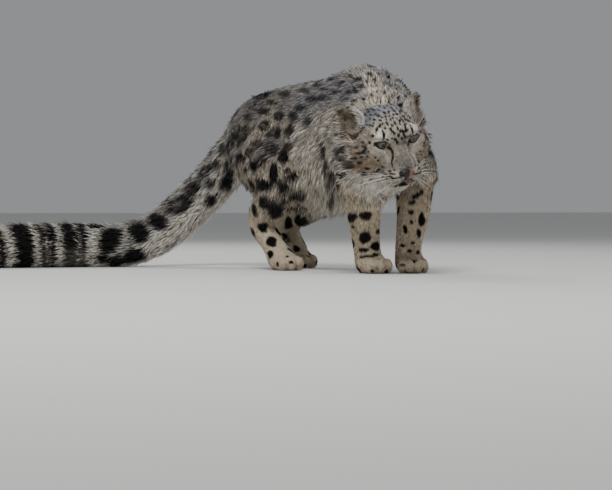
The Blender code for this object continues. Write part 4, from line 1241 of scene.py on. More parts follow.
    # On the tail's side that faces the camera: t along it, height from -1 to 1, length, width, kind.
    tail_seen: tuple = (
        (0.06, 0.3, 0.03, 0.026, 3), (0.1, 0.55, 0.034, 0.028, 3), (0.13, -0.1, 0.03, 0.024, 3),
        (0.165, 0.37, 0.03, 0.026, 3), (0.2, -0.5, 0.044, 0.03, 1), (0.215, 0.6, 0.04, 0.034, 2),
        (0.232, 0.05, 0.03, 0.028, 3), (0.272, -0.55, 0.044, 0.036, 1), (0.285, 0.5, 0.046, 0.042, 3),
        (0.343, 0.42, 0.06, 0.056, 2), (0.398, 0.42, 0.05, 0.058, 1), (0.456, 0.4, 0.054, 0.064, 1),
        (0.524, 0.38, 0.06, 0.074, 1),
    )
    # Bands that close round the tail: t of the middle, half length, how much reaches the underside.
    bands: tuple = (
        (0.58, 0.0105, 0.8), (0.612, 0.0185, 0.88), (0.652, 0.01, 0.95), (0.6745, 0.0088, 0.95),
        (0.72, 0.024, 1.0), (0.782, 0.016, 1.0), (0.84, 0.02, 1.0), (0.9, 0.018, 1.0), (0.985, 0.04, 1.0),
    )

    def __post_init__(self) -> None:
        """Finds all the marks on the skin."""
        reading = self.coat.read(self.surface.points)
        rise = np.maximum(reading.depth * 0.85, SHORTEST_COAT)
        outside = self.surface.points + self.surface.normals * rise[:, None]
        self.shell = BVHTree.FromPolygons(outside.tolist(), self.surface.triangles.tolist())
        self._place_seen()
        self._place_tail()
        self._place_hidden(reading.spacing)
        self._rows = self._tail_line()

    def _keep(self, places: Rows, halves: Row, kind: MarkKind, seed: int) -> Mark:
        """Adds a mark, whose places are its middle, the way that it faces and the ways of its axes."""
        mark = Mark(*(np.array(place) for place in places), *halves, kind, seed)
        self.marks.append(mark)
        return mark

    def _add_seen(
        self, x: float, y: float, wide: float, high: float, lean: float = 0, kind: int = 1, least: float = 0.4
    ) -> Mark | None:
        """Adds one mark where a ray through the picture meets the coat, foreshortened no more than least."""
        start, way = self.camera.ray(x, y)
        spot, normal, _, far = self.shell.ray_cast(start, way)
        if spot is None:
            return None
        right, up, _ = self.camera.axes()
        scale = 1.12 * far / self.camera.focal_px
        angle = math.radians(lean)
        along = right * math.cos(angle) + up * math.sin(angle)
        across = up * math.cos(angle) - right * math.sin(angle)
        axes, halves = [], []
        for axis, size in ((along, wide), (across, high)):
            flat = axis - normal * axis.dot(normal)
            halves.append(size * scale / 2 / max(flat.length, least))
            axes.append(flat.normalized())
        return self._keep((spot, normal, *axes), halves, MarkKind(kind), len(self.marks))

    def _place_seen(self) -> None:
        """The marks that the picture shows, with the head's repeated on its other side."""
        frame = head_frame()
        inverse = frame.inverted()
        eye_here = self.camera.pixel(frame @ Vector((-EYE_SPREAD, EYE_DEPTH - EYE_RADIUS, 0)))
        shift = (eye_here[0] - self.eye_seen[0], eye_here[1] - self.eye_seen[1])
        for x, y, *shape in self.head_seen:
            mark = self._add_seen(x + shift[0], y + shift[1], *shape, least=0.62)
            if mark and (inverse @ Vector(mark.centre)).x < -0.012:
                self._mirror(mark, frame, inverse)
        for row in self.body_seen:
            self._add_seen(*row)

    def _mirror(self, mark: Mark, frame: Matrix, inverse: Matrix) -> None:
        """Adds the same mark on the other side of the head."""
        flip = Matrix.Diagonal((-1, 1, 1))
        turn, back = frame.to_3x3(), inverse.to_3x3()
        spot, normal, _, _ = self.shell.find_nearest(frame @ (flip @ (inverse @ Vector(mark.centre))))
        ways = (turn @ (flip @ (back @ Vector(way))) for way in (mark.along, mark.across))
        self._keep((spot, normal, *ways), (mark.half_long, mark.half_wide), mark.kind, mark.seed + 500)

    def _place_tail(self) -> None:
        """The blotches of the tail's upper side, which turn into bands towards its tip."""
        rows = self.coat.animal.tail
        _, _, forward = self.camera.axes()
        for t, height, long, wide, kind in self.tail_seen:
            centre = Vector(between(rows, t)[:3])
            along = heading_at(rows, t)
            up = (Vector((0, 0, 1)) - along * along.z).normalized()
            if t < 0.45:
                up = (along.cross(forward)).normalized()
                up = up if up.z + up.x * 0.2 > 0 else -up
            facing = (-forward + along * along.dot(forward)).normalized()
            out = (facing * math.sqrt(1 - height**2) + up * height).normalized()
            spot, normal, _, _ = self.shell.ray_cast(centre, out)
            if spot is None:
                continue
            across = normal.cross(along).normalized()
            places = (spot, normal, along, across)
            self._keep(places, (long / 2, wide / 2), MarkKind(kind), len(self.marks))

    def _tail_line(self) -> Array:
        """Points along the tail's middle, with t in the last column."""
        steps = np.linspace(0, 1, 201)
        return np.array([[*between(self.coat.animal.tail, t)[:3], t] for t in steps])

    def _place_hidden(self, spacing: Array) -> None:
        """Marks where the picture shows none, as far apart as on the same part of the seen side.

        Args:
            spacing: The marks' spacing at each point of the skin.
        """
        draw = np.random.default_rng(11)
        surface = self.surface
        dense = spacing[surface.triangles[:, 0]]
        areas = surface.areas() * np.where((dense > 0.006) & (dense < 0.02), 7, 1)
        points, normals, _ = surface.scatter(areas, self.tries, draw)
        reading = self.coat.read(points)
        turned = normals @ np.array(self.camera.axes()[2])
        crown = (reading.spacing > 0.006) & (reading.spacing < 0.02) & (reading.radius < 0.0045)
        covered = (points[:, 1] > 0.15) & (points[:, 2] < 0.15) & (reading.spacing < 0.045)  # by the rock
        wanted = crown | ((reading.spacing > 0.02) & ((turned > -0.25) | covered))
        centres = [mark.centre for mark in self.marks]
        sizes = [max(mark.half_long, mark.half_wide) for mark in self.marks]
        for i in np.flatnonzero(wanted):
            gap = np.linalg.norm(np.array(centres) - points[i], axis=1)
            clear = np.maximum(reading.spacing[i], (np.array(sizes) + reading.radius[i]) * 0.95)
            if (gap < clear).any():
                continue
            normal = normals[i] / np.linalg.norm(normals[i])
            lie = reading.lie[i] - normal * reading.lie[i].dot(normal)
            along = lie / max(np.linalg.norm(lie), 1e-6)
            radius = reading.radius[i] * draw.uniform(0.8, 1.25)
            kind = MarkKind.RING if draw.random() < reading.ring[i] else MarkKind.SPOT
            if kind is MarkKind.RING and draw.random() < 0.35:
                kind = MarkKind.SMOKE
            long = radius * draw.uniform(1.0, 1.35)
            self._keep((points[i], normal, along, np.cross(normal, along)), (long, radius), kind, int(i))
            centres.append(points[i])
            sizes.append(long)

    def colour(self, points: Array, normals: Array, tone: Array) -> Array:
        """The coat's colour at some places.

        Args:
            points: Places on the coat, one a row.
            normals: The ways that the body faces there.
            tone: The ground colour there.

        Returns:
            Linear colours, one a row.
        """
        black, smoke_and_shade = np.zeros(len(points)), np.zeros(len(points))
        order = np.argsort(points[:, 1])
        ranked = points[order, 1]
        for mark in self.marks:
            reach = max(mark.half_long, mark.half_wide) * 1.4 + 0.008
            first, last = np.searchsorted(ranked, (mark.centre[1] - reach, mark.centre[1] + reach))
            away = points[order[first:last]] - mark.centre
            inside = (np.abs(away[:, 0]) < reach) & (np.abs(away[:, 2]) < reach)
            near, away = order[first:last][inside], away[inside]
            if not len(near):
                continue
            a = away @ mark.along / mark.half_long
            b = away @ mark.across / mark.half_wide
            size = min(mark.half_long, mark.half_wide)
            wobble = ripple(away, size * 1.3, mark.seed)
            r = np.hypot(a, b) * (1 + 0.24 * wobble)
            facing = smooth_step(0.0, 0.3, normals[near] @ mark.normal)
            if mark.kind is MarkKind.SPOT:
                black[near] = np.maximum(black[near], facing * (1 - smooth_step(0.82, 1.14, r)))
            elif mark.kind is MarkKind.RING:
                ring = smooth_step(0.25, 0.52, r) * (1 - smooth_step(0.95, 1.2, r))
                gaps = smooth_step(-0.85, -0.2, ripple(away, size * 2.2, mark.seed + 1))
                black[near] = np.maximum(black[near], facing * ring * gaps * 0.92)
                smoke_and_shade[near] = np.maximum(smoke_and_shade[near], facing * 0.6 * (1 - smooth_step(0.7, 1.0, r)))
            else:
                # Smoky blotches, and the painted shadow between ruff and shoulder.
                veil = (1 - smooth_step(0.82, 1.18, r)) * (0.95 + 0.2 * wobble)
                smoke_and_shade[near] = np.maximum(smoke_and_shade[near], facing * np.clip(veil, 0, 1) * 0.96)
        self._band_tail(points, black)
        shaded = mixed(tone, np.array(to_linear(self.smoke_and_shade)), smoke_and_shade[:, None])
        return mixed(shaded, np.array(to_linear(self.black)), black[:, None])

    def _band_tail(self, points: Array, black: Array) -> None:
        """Adds the bands of the tail to the black share of each point."""
        near = np.flatnonzero(points[:, 0] < -0.22)
        near = near[points[near, 1] > 0.66]
        if not len(near):
            return
        line = self._rows
        spots = points[near]
        gap = ((spots[:, None] - line[None, :, :3]) ** 2).sum(axis=2)
        t = line[gap.argmin(axis=1), 3]
        low = np.clip((0.055 - spots[:, 2]) / 0.055, -1, 1)
        wave = ripple(spots, 0.05, 3) * 0.003
        for middle, half, under in self.bands:
            r = np.abs(t + wave + 0.005 * low - middle) / half
            full = 1 - smooth_step(0.85, 1.15, r)
            fade = 1 - (1 - under) * smooth_step(-0.1, 0.5, low)
            black[near] = np.maximum(black[near], full * fade)


# ---- The skin


@dataclass
class Skin:
    """One skin for the whole animal, with no seam: the lids are cut into it."""

    animal: Animal
    coat: CoatMap
    lid_thickness: float = 0.0022
    sole: float = 0.0012  # lowest place of the skin
    opening: tuple[float, float, float] = (0.0156, 0.013, 0.0104)
    nodes: tuple[str, ...] = (
        "head", "neck", "torso", "tail_1", "tail_2", "tail_3", "tail_4", "forepaw_left", "forepaw_right",
        "foreleg_left", "foreleg_right", "hindpaw_left", "hindpaw_right", "shank_left", "shank_right",
        "thigh_left", "thigh_right",
    )

    def build(self) -> Piece:
        """Makes the skin, still without its colours."""
        skin = from_bmesh("skin", self.animal.masses())
        fuse(skin, SKIN_VOXEL, 4)
        self._sink(skin)
        self._cut_lids(skin)
        self._flatten_soles(skin)
        unwrap(skin)
        skin.data.shade_smooth()
        return skin

    def _sink(self, skin: Piece) -> None:
        """Draws the skin in from the tips of the hair."""
        mesh = skin.data
        points = read_values(mesh.vertices, "co", 3)
        depth = np.maximum(self.coat.read(points).depth * 0.94, SHORTEST_COAT)
        points -= read_values(mesh.vertex_normals, "vector", 3) * depth[:, None]
        move_points(mesh, points)

    def _cut_lids(self, skin: Piece) -> None:
        """Lids as a shell over each eyeball, with the almond gap between them."""
        frame = head_frame()
        for side in SIDES:
            centre = (side * EYE_SPREAD, EYE_DEPTH, 0)
            shell = [EYE_RADIUS + self.lid_thickness] * 3
            boolean(skin, ball("lid", centre, shell, frame, segments=40), "UNION")
            gap = (side * EYE_SPREAD, EYE_DEPTH - EYE_RADIUS, 0)
            boolean(skin, ball("lid_gap", gap, self.opening, frame, (0, side * -9, 0), 40), "DIFFERENCE")

    def _flatten_soles(self, skin: Piece) -> None:
        """Lifts what lies below the floor up to it."""
        points = read_values(skin.data.vertices, "co", 3)
        points[:, 2] = np.maximum(points[:, 2], self.sole)
        move_points(skin.data, points)

    def paint(self, skin: Piece, surface: Surface, markings: Markings) -> None:
        """Gives the skin the same markings as the coat, darkened by 0.82 as painted shade of the hair over
        it.
        """
        tone = self.coat.read(surface.points).tone
        colours = markings.colour(surface.points, surface.normals, tone)
        # Painted shade: the whole skin is darkened to 0.82 for the shade of the hair above it.
        paint_points(skin.data, colours * 0.82)
        dress(skin, HideFinish().material())


# ---- The coat


def lay_flat(lie: Array, normal: Array, swing: Array) -> Array:
    """The lie laid flat on the skin and swung sideways by an angle each."""
    flat = lie - normal * (lie * normal).sum(axis=1, keepdims=True)
    flat /= np.maximum(np.linalg.norm(flat, axis=1, keepdims=True), 1e-6)
    side = np.cross(normal, flat)
    turned = flat * np.cos(swing)[:, None] + side * np.sin(swing)[:, None]
    return turned / np.maximum(np.linalg.norm(turned, axis=1, keepdims=True), 1e-6)


@dataclass
class Tufts:
    """The shape and colour of the tufts of one piece, one row each."""

    root: Array
    normal: Array
    flat: Array  # the root's place on the skin's unwrap
    lie: Array
    width: Array
    middle: Array
    up_middle: Array
    tip: Array
    near: Array  # colour of the lower half
    far: Array  # colour of the upper half
    floor: float = 0.0004  # lowest place of any point

    def blades(self, rows: Array, bent: bool, sink: float) -> list[Array]:
        """Points, triangles, patches and colours of some tufts.

        Args:
            rows: Which tufts.
            bent: True for tufts with a ring in their middle.
            sink: How deep their feet stand in the skin.

        Returns:
            The four arrays.
        """
        fields = (self.root, self.normal, self.middle, self.up_middle, self.tip, self.lie)
        r, n, m, u, p, t = (values[rows] for values in fields)
        w = self.width[rows][:, None]
        side = np.cross(n, t)
        low = r - n * sink
        ring = [low + side * w * 0.42, low + n * (w * 0.3 + sink * 0.5), low - side * w * 0.42]
        faces = [(0, 1, 2)]
        spots = [(-1, -1), (0, -0.4), (1, -1)]
        # Painted shade: the feet of each tuft are darkened for the shade deep in the coat, partly also the
        # darker undercoat, and the middles of bent tufts a little.
        painted_depth_shade = [0.4, 0.46, 0.4] if bent else [0.68, 0.76, 0.68]
        if bent:
            cross = np.cross(u, m - r)
            cross /= np.maximum(np.linalg.norm(cross, axis=1, keepdims=True), 1e-6)
            ring += [m + cross * w * 0.5, m + u * w * 0.26, m - cross * w * 0.5]
            faces += [(0, 3, 4), (0, 4, 1), (1, 4, 5), (1, 5, 2), (2, 5, 3), (2, 3, 0)]
            faces += [(3, 6, 4), (4, 6, 5), (5, 6, 3)]
            spots += [(-0.6, 0), (0, 0.3), (0.6, 0)]
            painted_depth_shade += [0.92, 0.98, 0.92]
        else:
            faces += [(0, 3, 1), (1, 3, 2), (2, 3, 0)]
        points = np.stack([*ring, p], axis=1)
        points[:, :, 2] = np.maximum(points[:, :, 2], self.floor)
        steps = (np.arange(len(rows)) * points.shape[1])[:, None, None]
        triangles = np.array(faces)[None] + steps
        patch = self.flat[rows][:, None] + np.array([*spots, (0, 1)])[None] * PATCH
        below, above = (np.clip(colour[rows], 0, 0.9)[:, None] for colour in (self.near, self.far))
        # Painted light: the upper half of each tuft is brightened by 1.26, while the painted shade above
        # darkens the lower half.
        paint = np.concatenate([below * np.array(painted_depth_shade)[None, :, None], above * 1.26], axis=1)
        corner = patch[:, np.array(faces).ravel()]
        return [points.reshape(-1, 3), triangles.reshape(-1, 3), corner.reshape(-1, 2), paint.reshape(-1, 3)]


def join_blades(name: str, parts: Sequence[Sequence[Array]]) -> Piece:
    """Joins arrays of tufts into one object with its bake map and colours."""
    starts = np.cumsum([0, *(len(part[0]) for part in parts)])
    points, _, corners, paint = (np.vstack(arrays) for arrays in zip(*parts))
    faces = np.vstack([part[1] + start for part, start in zip(parts, starts)])
    if len(faces) > FACE_LIMIT:
        raise ValueError(f"{name} has {len(faces)} faces, over {FACE_LIMIT}")
    mesh = mesh_of(name, points, faces)
    mesh.uv_layers.new(name=BAKE_MAP).data.foreach_set("uv", corners.astype(np.float32).ravel())
    paint_points(mesh, paint)
    return link(name, mesh)


@dataclass
class Barber:
    """Grows the tufts: solid, tapered, thin, rooted in the skin and laid along the coat."""

    surface: Surface
    coat: CoatMap
    markings: Markings
    bare: Callable[[Array], Array]
    sink: float = 0.0012
    floor: float = 0.0008  # lowest middle or tip of a tuft
    long_from: float = 0.015  # longer tufts bend, shorter ones are straight

    def length(self, reading: CoatReading) -> Array:
        """The usual length of a tuft for the coat's depth and shag."""
        return 0.0062 + 1.5 * reading.depth * reading.shag

    def width(self, length: Array) -> Array:
        """The usual width of a tuft for its length."""
        return 0.00115 + 0.033 * length

    def sow(self, triangles: Array, budget: int, draw: np.random.Generator) -> tuple[Array, ...]:
        """Picks roots on some triangles of the skin until their tufts use up a budget of faces.

        Args:
            triangles: Indices of the skin's triangles.
            budget: The most faces that the tufts may have.
            draw: The random source.

        Returns:
            The roots, the unit ways that the skin faces there, and their places on its unwrap.
        """
        surface = self.surface
        middle = surface.points[surface.triangles[triangles]].mean(axis=1)
        usual = self.length(self.coat.read(middle))
        chance = surface.areas()[triangles] * (1 + usual / 0.03) / (self.width(usual) * usual)
        faces_each = np.where(usual * 0.95 > self.long_from, 10, 4)
        chance /= chance.sum()
        count = int(budget / (chance * faces_each).sum())
        root, normal, flat = surface.scatter(chance, count, draw, triangles)
        return root, normal / np.linalg.norm(normal, axis=1, keepdims=True), flat

    def grow(self, name: str, roots: Sequence[Array], draw: np.random.Generator) -> Piece:
        """Turns roots into one piece of the coat.

        Args:
            name: The piece's name.
            roots: What sow gives.
            draw: The random source.

        Returns:
            The piece.
        """
        root, normal, flat = roots
        reading = self.coat.read(root)
        swing = np.radians(10) * ripple(root, 0.05, 21) + draw.normal(0, math.radians(7), len(root))
        lie = lay_flat(reading.lie, normal, swing)
        hang = np.clip((reading.lie * normal).sum(axis=1), 0, 1)
        length = self.length(reading) * draw.uniform(0.72, 1.2, len(root))
        width = self.width(length) * draw.uniform(0.8, 1.2, len(root))
        rise = np.maximum(reading.depth * 0.94, SHORTEST_COAT) * draw.uniform(0.55, 1.1, len(root))
        stray = (draw.random(len(root)) < 0.1) & (reading.depth > 0.003)
        rise[stray] *= draw.uniform(1.1, 2.1, len(root))[stray]
        stride = (length * (1 - 0.5 * hang) * 0.5)[:, None]
        middle, up_middle = self.surface.nearest(root + lie * stride)
        onward = lay_flat(reading.lie, up_middle, swing)
        ending, up_end = self.surface.nearest(middle + onward * stride)
        middle = middle + up_middle * (rise * 0.72)[:, None]
        tip = ending + up_end * (rise * 0.98)[:, None]
        sag = (hang * length)[:, None] * np.array((0, 0, -1.0))
        middle += sag * 0.24
        tip += sag * 0.68
        keep = ~(self.bare(root) | self.bare(tip))
        chief = self._chiefs(root, length, draw)
        tip, middle = self._gather(root, middle, tip, length, chief)
        for places in (middle, tip):
            places[:, 2] = np.maximum(places[:, 2], self.floor)
        shade = self._shade(root, reading.grizzle, chief, draw)
        near = self._colours(root * 0.35 + middle * 0.65, normal) * shade
        far = self._colours(middle * 0.25 + tip * 0.75, normal) * shade
        tufts = Tufts(root, normal, flat, lie, width, middle, up_middle, tip, near, far)
        long = length > self.long_from
        groups = ((np.flatnonzero(long & keep), True), (np.flatnonzero(~long & keep), False))
        return join_blades(name, [tufts.blades(rows, bent, self.sink) for rows, bent in groups if len(rows)])

    def _chiefs(self, root: Array, length: Array, draw: np.random.Generator) -> Array:
        """For each tuft, the one that leads its lock."""
        leaders = []
        taken = KDTree(len(root))
        grid: set[tuple[int, int, int]] = set()
        for i in draw.permutation(len(root)):
            cell = max(length[i] * 0.3, 0.0045)
            key = tuple(int(v) for v in np.floor(root[i] / cell))
            if key not in grid:
                grid.add(key)
                leaders.append(i)
        for k, i in enumerate(leaders):
            taken.insert(root[i], k)
        taken.balance()
        return np.array([leaders[taken.find(place)[1]] for place in root])

    def _gather(
        self, root: Array, middle: Array, tip: Array, length: Array, chief: Array
    ) -> tuple[Array, Array]:
        """Draws the tips of neighbours together, so that long hair forms locks."""
        pull = np.clip((length - 0.01) / 0.03, 0, 1)[:, None]
        offset = root - root[chief]
        near = (np.linalg.norm(offset, axis=1) < length * 0.8)[:, None]
        drawn = np.where(near, tip + (tip[chief] + offset * 0.25 - tip) * 0.65 * pull, tip)
        bent = np.where(near, middle + (middle[chief] + offset * 0.7 - middle) * 0.4 * pull, middle)
        return drawn, bent

    def _shade(self, root: Array, grizzle: Array, chief: Array, draw: np.random.Generator) -> Array:
        """How light each tuft is: its lock's own shade, a slow drift and a little of its own."""
        lock = draw.normal(0, 1, len(root))[chief]
        shade = 1 + grizzle * (1.15 * lock + 0.6 * ripple(root, 0.03, 5)) + draw.normal(0, 0.14, len(root))
        return np.clip(shade, 0.28, 1.85)[:, None]

    def _colours(self, seen: Array, normal: Array) -> Array:
        """The coat's colours at places on the tufts."""
        return self.markings.colour(seen, normal, self.coat.read(seen).tone)


@dataclass(frozen=True)
class Stretch:
    """One piece of the coat: its name, region, budget of faces and slot, and its limits along Y."""

    name: str
    region: Region
    budget: int
    slot: str = "coat"
    first: float = -math.inf
    last: float = math.inf


@dataclass
class WinterCoat:
    """The whole coat, in pieces under the limit of faces."""

    surface: Surface
    coat: CoatMap
    barber: Barber
    seed: int = 5
    stretches: tuple[Stretch, ...] = (
        Stretch("coat_head", Region.HEAD, 188000),
        Stretch("coat_neck", Region.NECK, 184000),
        Stretch("coat_front", Region.TRUNK, 196000, last=0.14),
        Stretch("coat_flank", Region.TRUNK, 194000, first=0.14, last=0.34),
        Stretch("coat_rear", Region.TRUNK, 194000, first=0.34),
        Stretch("coat_tail", Region.TAIL, 190000, "coat_tail"),
        Stretch("coat_forelegs", Region.FORELEGS, 140000, "coat_leg"),
        Stretch("coat_hindlegs", Region.HINDLEGS, 150000, "coat_leg"),
    )

    def build(self) -> list[tuple[Piece, str]]:
        """Makes all the pieces, each with its slot."""
        material = FurFinish().material()
        middle = self.surface.points[self.surface.triangles].mean(axis=1)
        region, y = self.coat.regions_at(middle), middle[:, 1]
        pieces = []
        for k, part in enumerate(self.stretches):
            inside = (region == part.region.value) & (y >= part.first) & (y < part.last)
            draw = np.random.default_rng(self.seed + k)
            roots = self.barber.sow(np.flatnonzero(inside), part.budget, draw)
            piece = self.barber.grow(part.name, roots, draw)
            dress(piece, material)
            LOG.info("%s: %d tufts, %d faces", part.name, len(roots[0]), len(piece.data.polygons))
            pieces.append((piece, part.slot))
        return pieces


# ---- Face


@dataclass
class Eye:
    """An eyeball with a raised cornea, and the dark rim of its lids."""

    side: int
    opening: tuple[float, float] = (0.0156, 0.0096)
    bulge: float = 0.0012
    rim_upper: float = 0.0025
    rim_lower: float = 0.0016

    @property
    def name(self) -> str:
        """The eye's name."""
        return "eye_left" if self.side > 0 else "eye_right"

    def frame(self) -> Matrix:
        """The eyeball's frame: it looks along -Y, and the outer corner of its lids is raised."""
        turn = Matrix.Rotation(math.radians(-9 * self.side), 4, "Y")
        return head_frame() @ Matrix.Translation((self.side * EYE_SPREAD, EYE_DEPTH, 0)) @ turn

    def build(self) -> Piece:
        """Makes the eyeball."""
        shape = bmesh.new()
        bmesh.ops.create_uvsphere(shape, u_segments=48, v_segments=32, radius=EYE_RADIUS - 0.0003)
        self._order_faces(shape)
        for point in shape.verts:
            forward = -point.co.y / EYE_RADIUS
            if forward > 0.6:
                point.co *= 1 + self.bulge / EYE_RADIUS * ((forward - 0.6) / 0.4) ** 0.8
        frame = self.frame()
        bmesh.ops.transform(shape, matrix=frame, verts=shape.verts)
        eye = from_bmesh("eyeball_" + self.name[4:], shape)
        eye.data.shade_smooth()
        return eye

    def _order_faces(self, shape: Shape) -> None:
        """Gives the sphere's faces one order, since the operator's own changes from run to run."""
        shape.verts.index_update()
        corners = [[point.index for point in face.verts] for face in shape.faces]
        shape.faces.index_update()
        shape.faces.sort(key=lambda face: sum(corners[face.index]) * 10000 + min(corners[face.index]))

    def finish(self, eye: Piece, origin: Vector) -> None:
        """Paints the eye once it stands in its place."""
        frame = self.frame()
        turn = frame.to_3x3()
        centre = frame.translation + origin
        gaze, side = turn @ Vector((0, -1, 0)), turn @ Vector((1, 0, 0))
        dress(eye, EyeFinish(name="wet_" + self.name).material(centre, gaze, side))

    def outline(self, grow: float = 1.0, count: int = 40) -> list[Vector]:
        """The almond line of the lids on the eyeball, in the eye's frame, from +X over the top."""
        half, high = self.opening[0] * grow, self.opening[1] * grow
        points = []
        for k in range(count):
            angle = math.tau * k / count
            c, s = math.cos(angle), math.sin(angle)
            x = half * c
            z = high * s * (abs(s) ** 0.25) * (1.0 if s > 0 else 0.86)
            inner, outer = max(-c * self.side, 0), max(c * self.side, 0)
            z -= 0.0042 * inner**4
            x += self.side * (0.0024 * outer**6 - 0.0062 * inner**6)
            y = -math.sqrt(max((EYE_RADIUS + 0.0006) ** 2 - x * x - z * z, 0.0))
            points.append(Vector((x, y, z)))
        return points

    def rim(self, surface: Surface) -> Piece:
        """The bare dark edge of the lids, thickest above and drawn out on the skin at both corners."""
        frame = self.frame()
        turn, inverse = frame.to_3x3(), frame.inverted()
        line = self.outline(1.04)
        for point in line:
            start = frame @ Vector((point.x, -0.06, point.z))
            spot, _, _, _ = surface.tree.ray_cast(start, turn @ Vector((0, 1, 0)))
            if spot is not None:
                point.y = min(point.y, (inverse @ spot).y)
        radii, path, outward = [], [], []
        for point in line:
            upper = min(max(0.5 + 0.5 * point.z / self.opening[1], 0), 1)
            corner = min(abs(point.x) / (self.opening[0] + 0.004), 1)
            thick = self.rim_lower + (self.rim_upper - self.rim_lower) * upper
            radii.append(thick * (1 - 0.45 * corner**4))
            path.append(frame @ point)
            outward.append(turn @ Vector((point.x, min(point.y, -0.012), point.z)).normalized())
        shape = bmesh.new()
        add_tube(shape, path, radii, outward, flat=0.62, closed=True)
        material = BareSkinFinish("lid_skin_" + self.name[4:], "#0E0B0A", 0.35).material()
        return finished("lid_rim_" + self.name[4:], shape, material)


@dataclass
class Nose:
    """The nose leather: a broad pad with two wings, comma-shaped nostrils and a groove down its middle."""

    voxel: float = 0.0009
    # Centre, radii, turn in degrees.
    masses: tuple = (
        ((0, -0.047, -0.0545), (0.0175, 0.0092, 0.0062), (-32, 0, 0)),
        ((0, -0.047, -0.06), (0.0125, 0.0098, 0.008), (-12, 0, 0)),
        ((0, -0.046, -0.0665), (0.0058, 0.0085, 0.0075), (0, 0, 0)),
        ((-0.0132, -0.0445, -0.0582), (0.0068, 0.0088, 0.0062), (0, -30, 0)),
        ((0.0132, -0.0445, -0.0582), (0.0068, 0.0088, 0.0062), (0, 30, 0)),
    )
    # Nostril and slit of each side, then the groove: centre, radii, turn, segments.
    cuts: tuple = (
        ((-0.0088, -0.0585, -0.0605), (0.0042, 0.006, 0.0024), (0, -28, 0), 20),
        ((-0.0142, -0.053, -0.0585), (0.0042, 0.005, 0.0012), (0, 22, 0), 16),
        ((0.0088, -0.0585, -0.0605), (0.0042, 0.006, 0.0024), (0, 28, 0), 20),
        ((0.0142, -0.053, -0.0585), (0.0042, 0.005, 0.0012), (0, -22, 0), 16),
        ((0, -0.059, -0.064), (0.0008, 0.003, 0.0075), (0, 0, 0), 16),
    )

    def build(self) -> Piece:
        """Makes the nose."""
        frame = head_frame()
        shape = bmesh.new()
        for centre, radii, turn in self.masses:
            add_ball(shape, centre, radii, turn, frame)
        nose = from_bmesh("nose_leather", shape)
        fuse(nose, self.voxel, 3)
        for centre, radii, turn, segments in self.cuts:
            boolean(nose, ball("cut", centre, radii, frame, turn, segments), "DIFFERENCE")
        nose.data.shade_smooth()
        return nose

    def finish(self, nose: Piece, origin: Vector) -> None:
        """Paints the nose once it stands in its place."""
        frame = head_frame()
        edge = frame @ Vector((0.0005, -0.05, -0.058)) + origin
        dress(nose, NoseFinish().material(edge, frame.to_3x3() @ Vector((1, 0, -0.25))))


@dataclass
class Mouth:
    """The dark line of the lips from corner to corner, the line up to the nose, and the tip of the tongue."""

    surface: Surface
    thickness: float = 0.0019

    def path(self) -> list[tuple[Vector, Vector]]:
        """Places on the skin along the closed lips, with the way that it faces there."""
        frame = head_frame()
        turn = frame.to_3x3()
        found = []
        for k in range(33):
            angle = math.radians(-66 + 132 * k / 32)
            drop = 0.0045 * math.cos(3 * angle) - 0.011 * (angle / math.radians(66)) ** 2
            start = frame @ Vector((0, -0.008, -0.08 + drop))
            outward = turn @ Vector((math.sin(angle), -math.cos(angle), 0))
            spot, _, _, _ = self.surface.tree.ray_cast(start, outward)
            if spot is not None:
                found.append((spot, outward))
        return found

    def build(self) -> Piece:
        """Makes the lips."""
        found = self.path()
        shape = bmesh.new()
        path = [spot + facing * 0.0016 for spot, facing in found]
        last = len(path) - 1
        swell = [0.45 + 0.75 * math.sin(math.pi * k / last) ** 0.5 for k in range(last + 1)]
        radii = [self.thickness * share for share in swell]
        add_tube(shape, path, radii, [facing for _, facing in found], flat=0.8)
        frame = head_frame()
        turn = frame.to_3x3()
        line = []
        for k in range(6):
            start = frame @ Vector((0, -0.01, -0.0675 - 0.0018 * k))
            spot, _, _, _ = self.surface.tree.ray_cast(start, turn @ Vector((0, -1, 0)))
            if spot is not None:
                line.append(spot + turn @ Vector((0, -0.0012, 0)))
        if len(line) > 1:
            forward = [turn @ Vector((0, -1, 0))] * len(line)
            add_tube(shape, line, [0.001] * len(line), forward)
        return finished("lips", shape, BareSkinFinish("lip_skin", "#15100F", 0.4).material())

    def tongue(self) -> Piece:
        """The tip of the tongue, just showing."""
        shape = bmesh.new()
        add_ball(shape, (0.003, -0.048, -0.0812), (0.0058, 0.006, 0.0022), frame=head_frame(), segments=32)
        material = PlainFinish("tongue_flesh", "#9C5E5A", 0.35, 1.2, 0.0003).material()
        return finished("tongue_tip", shape, material)


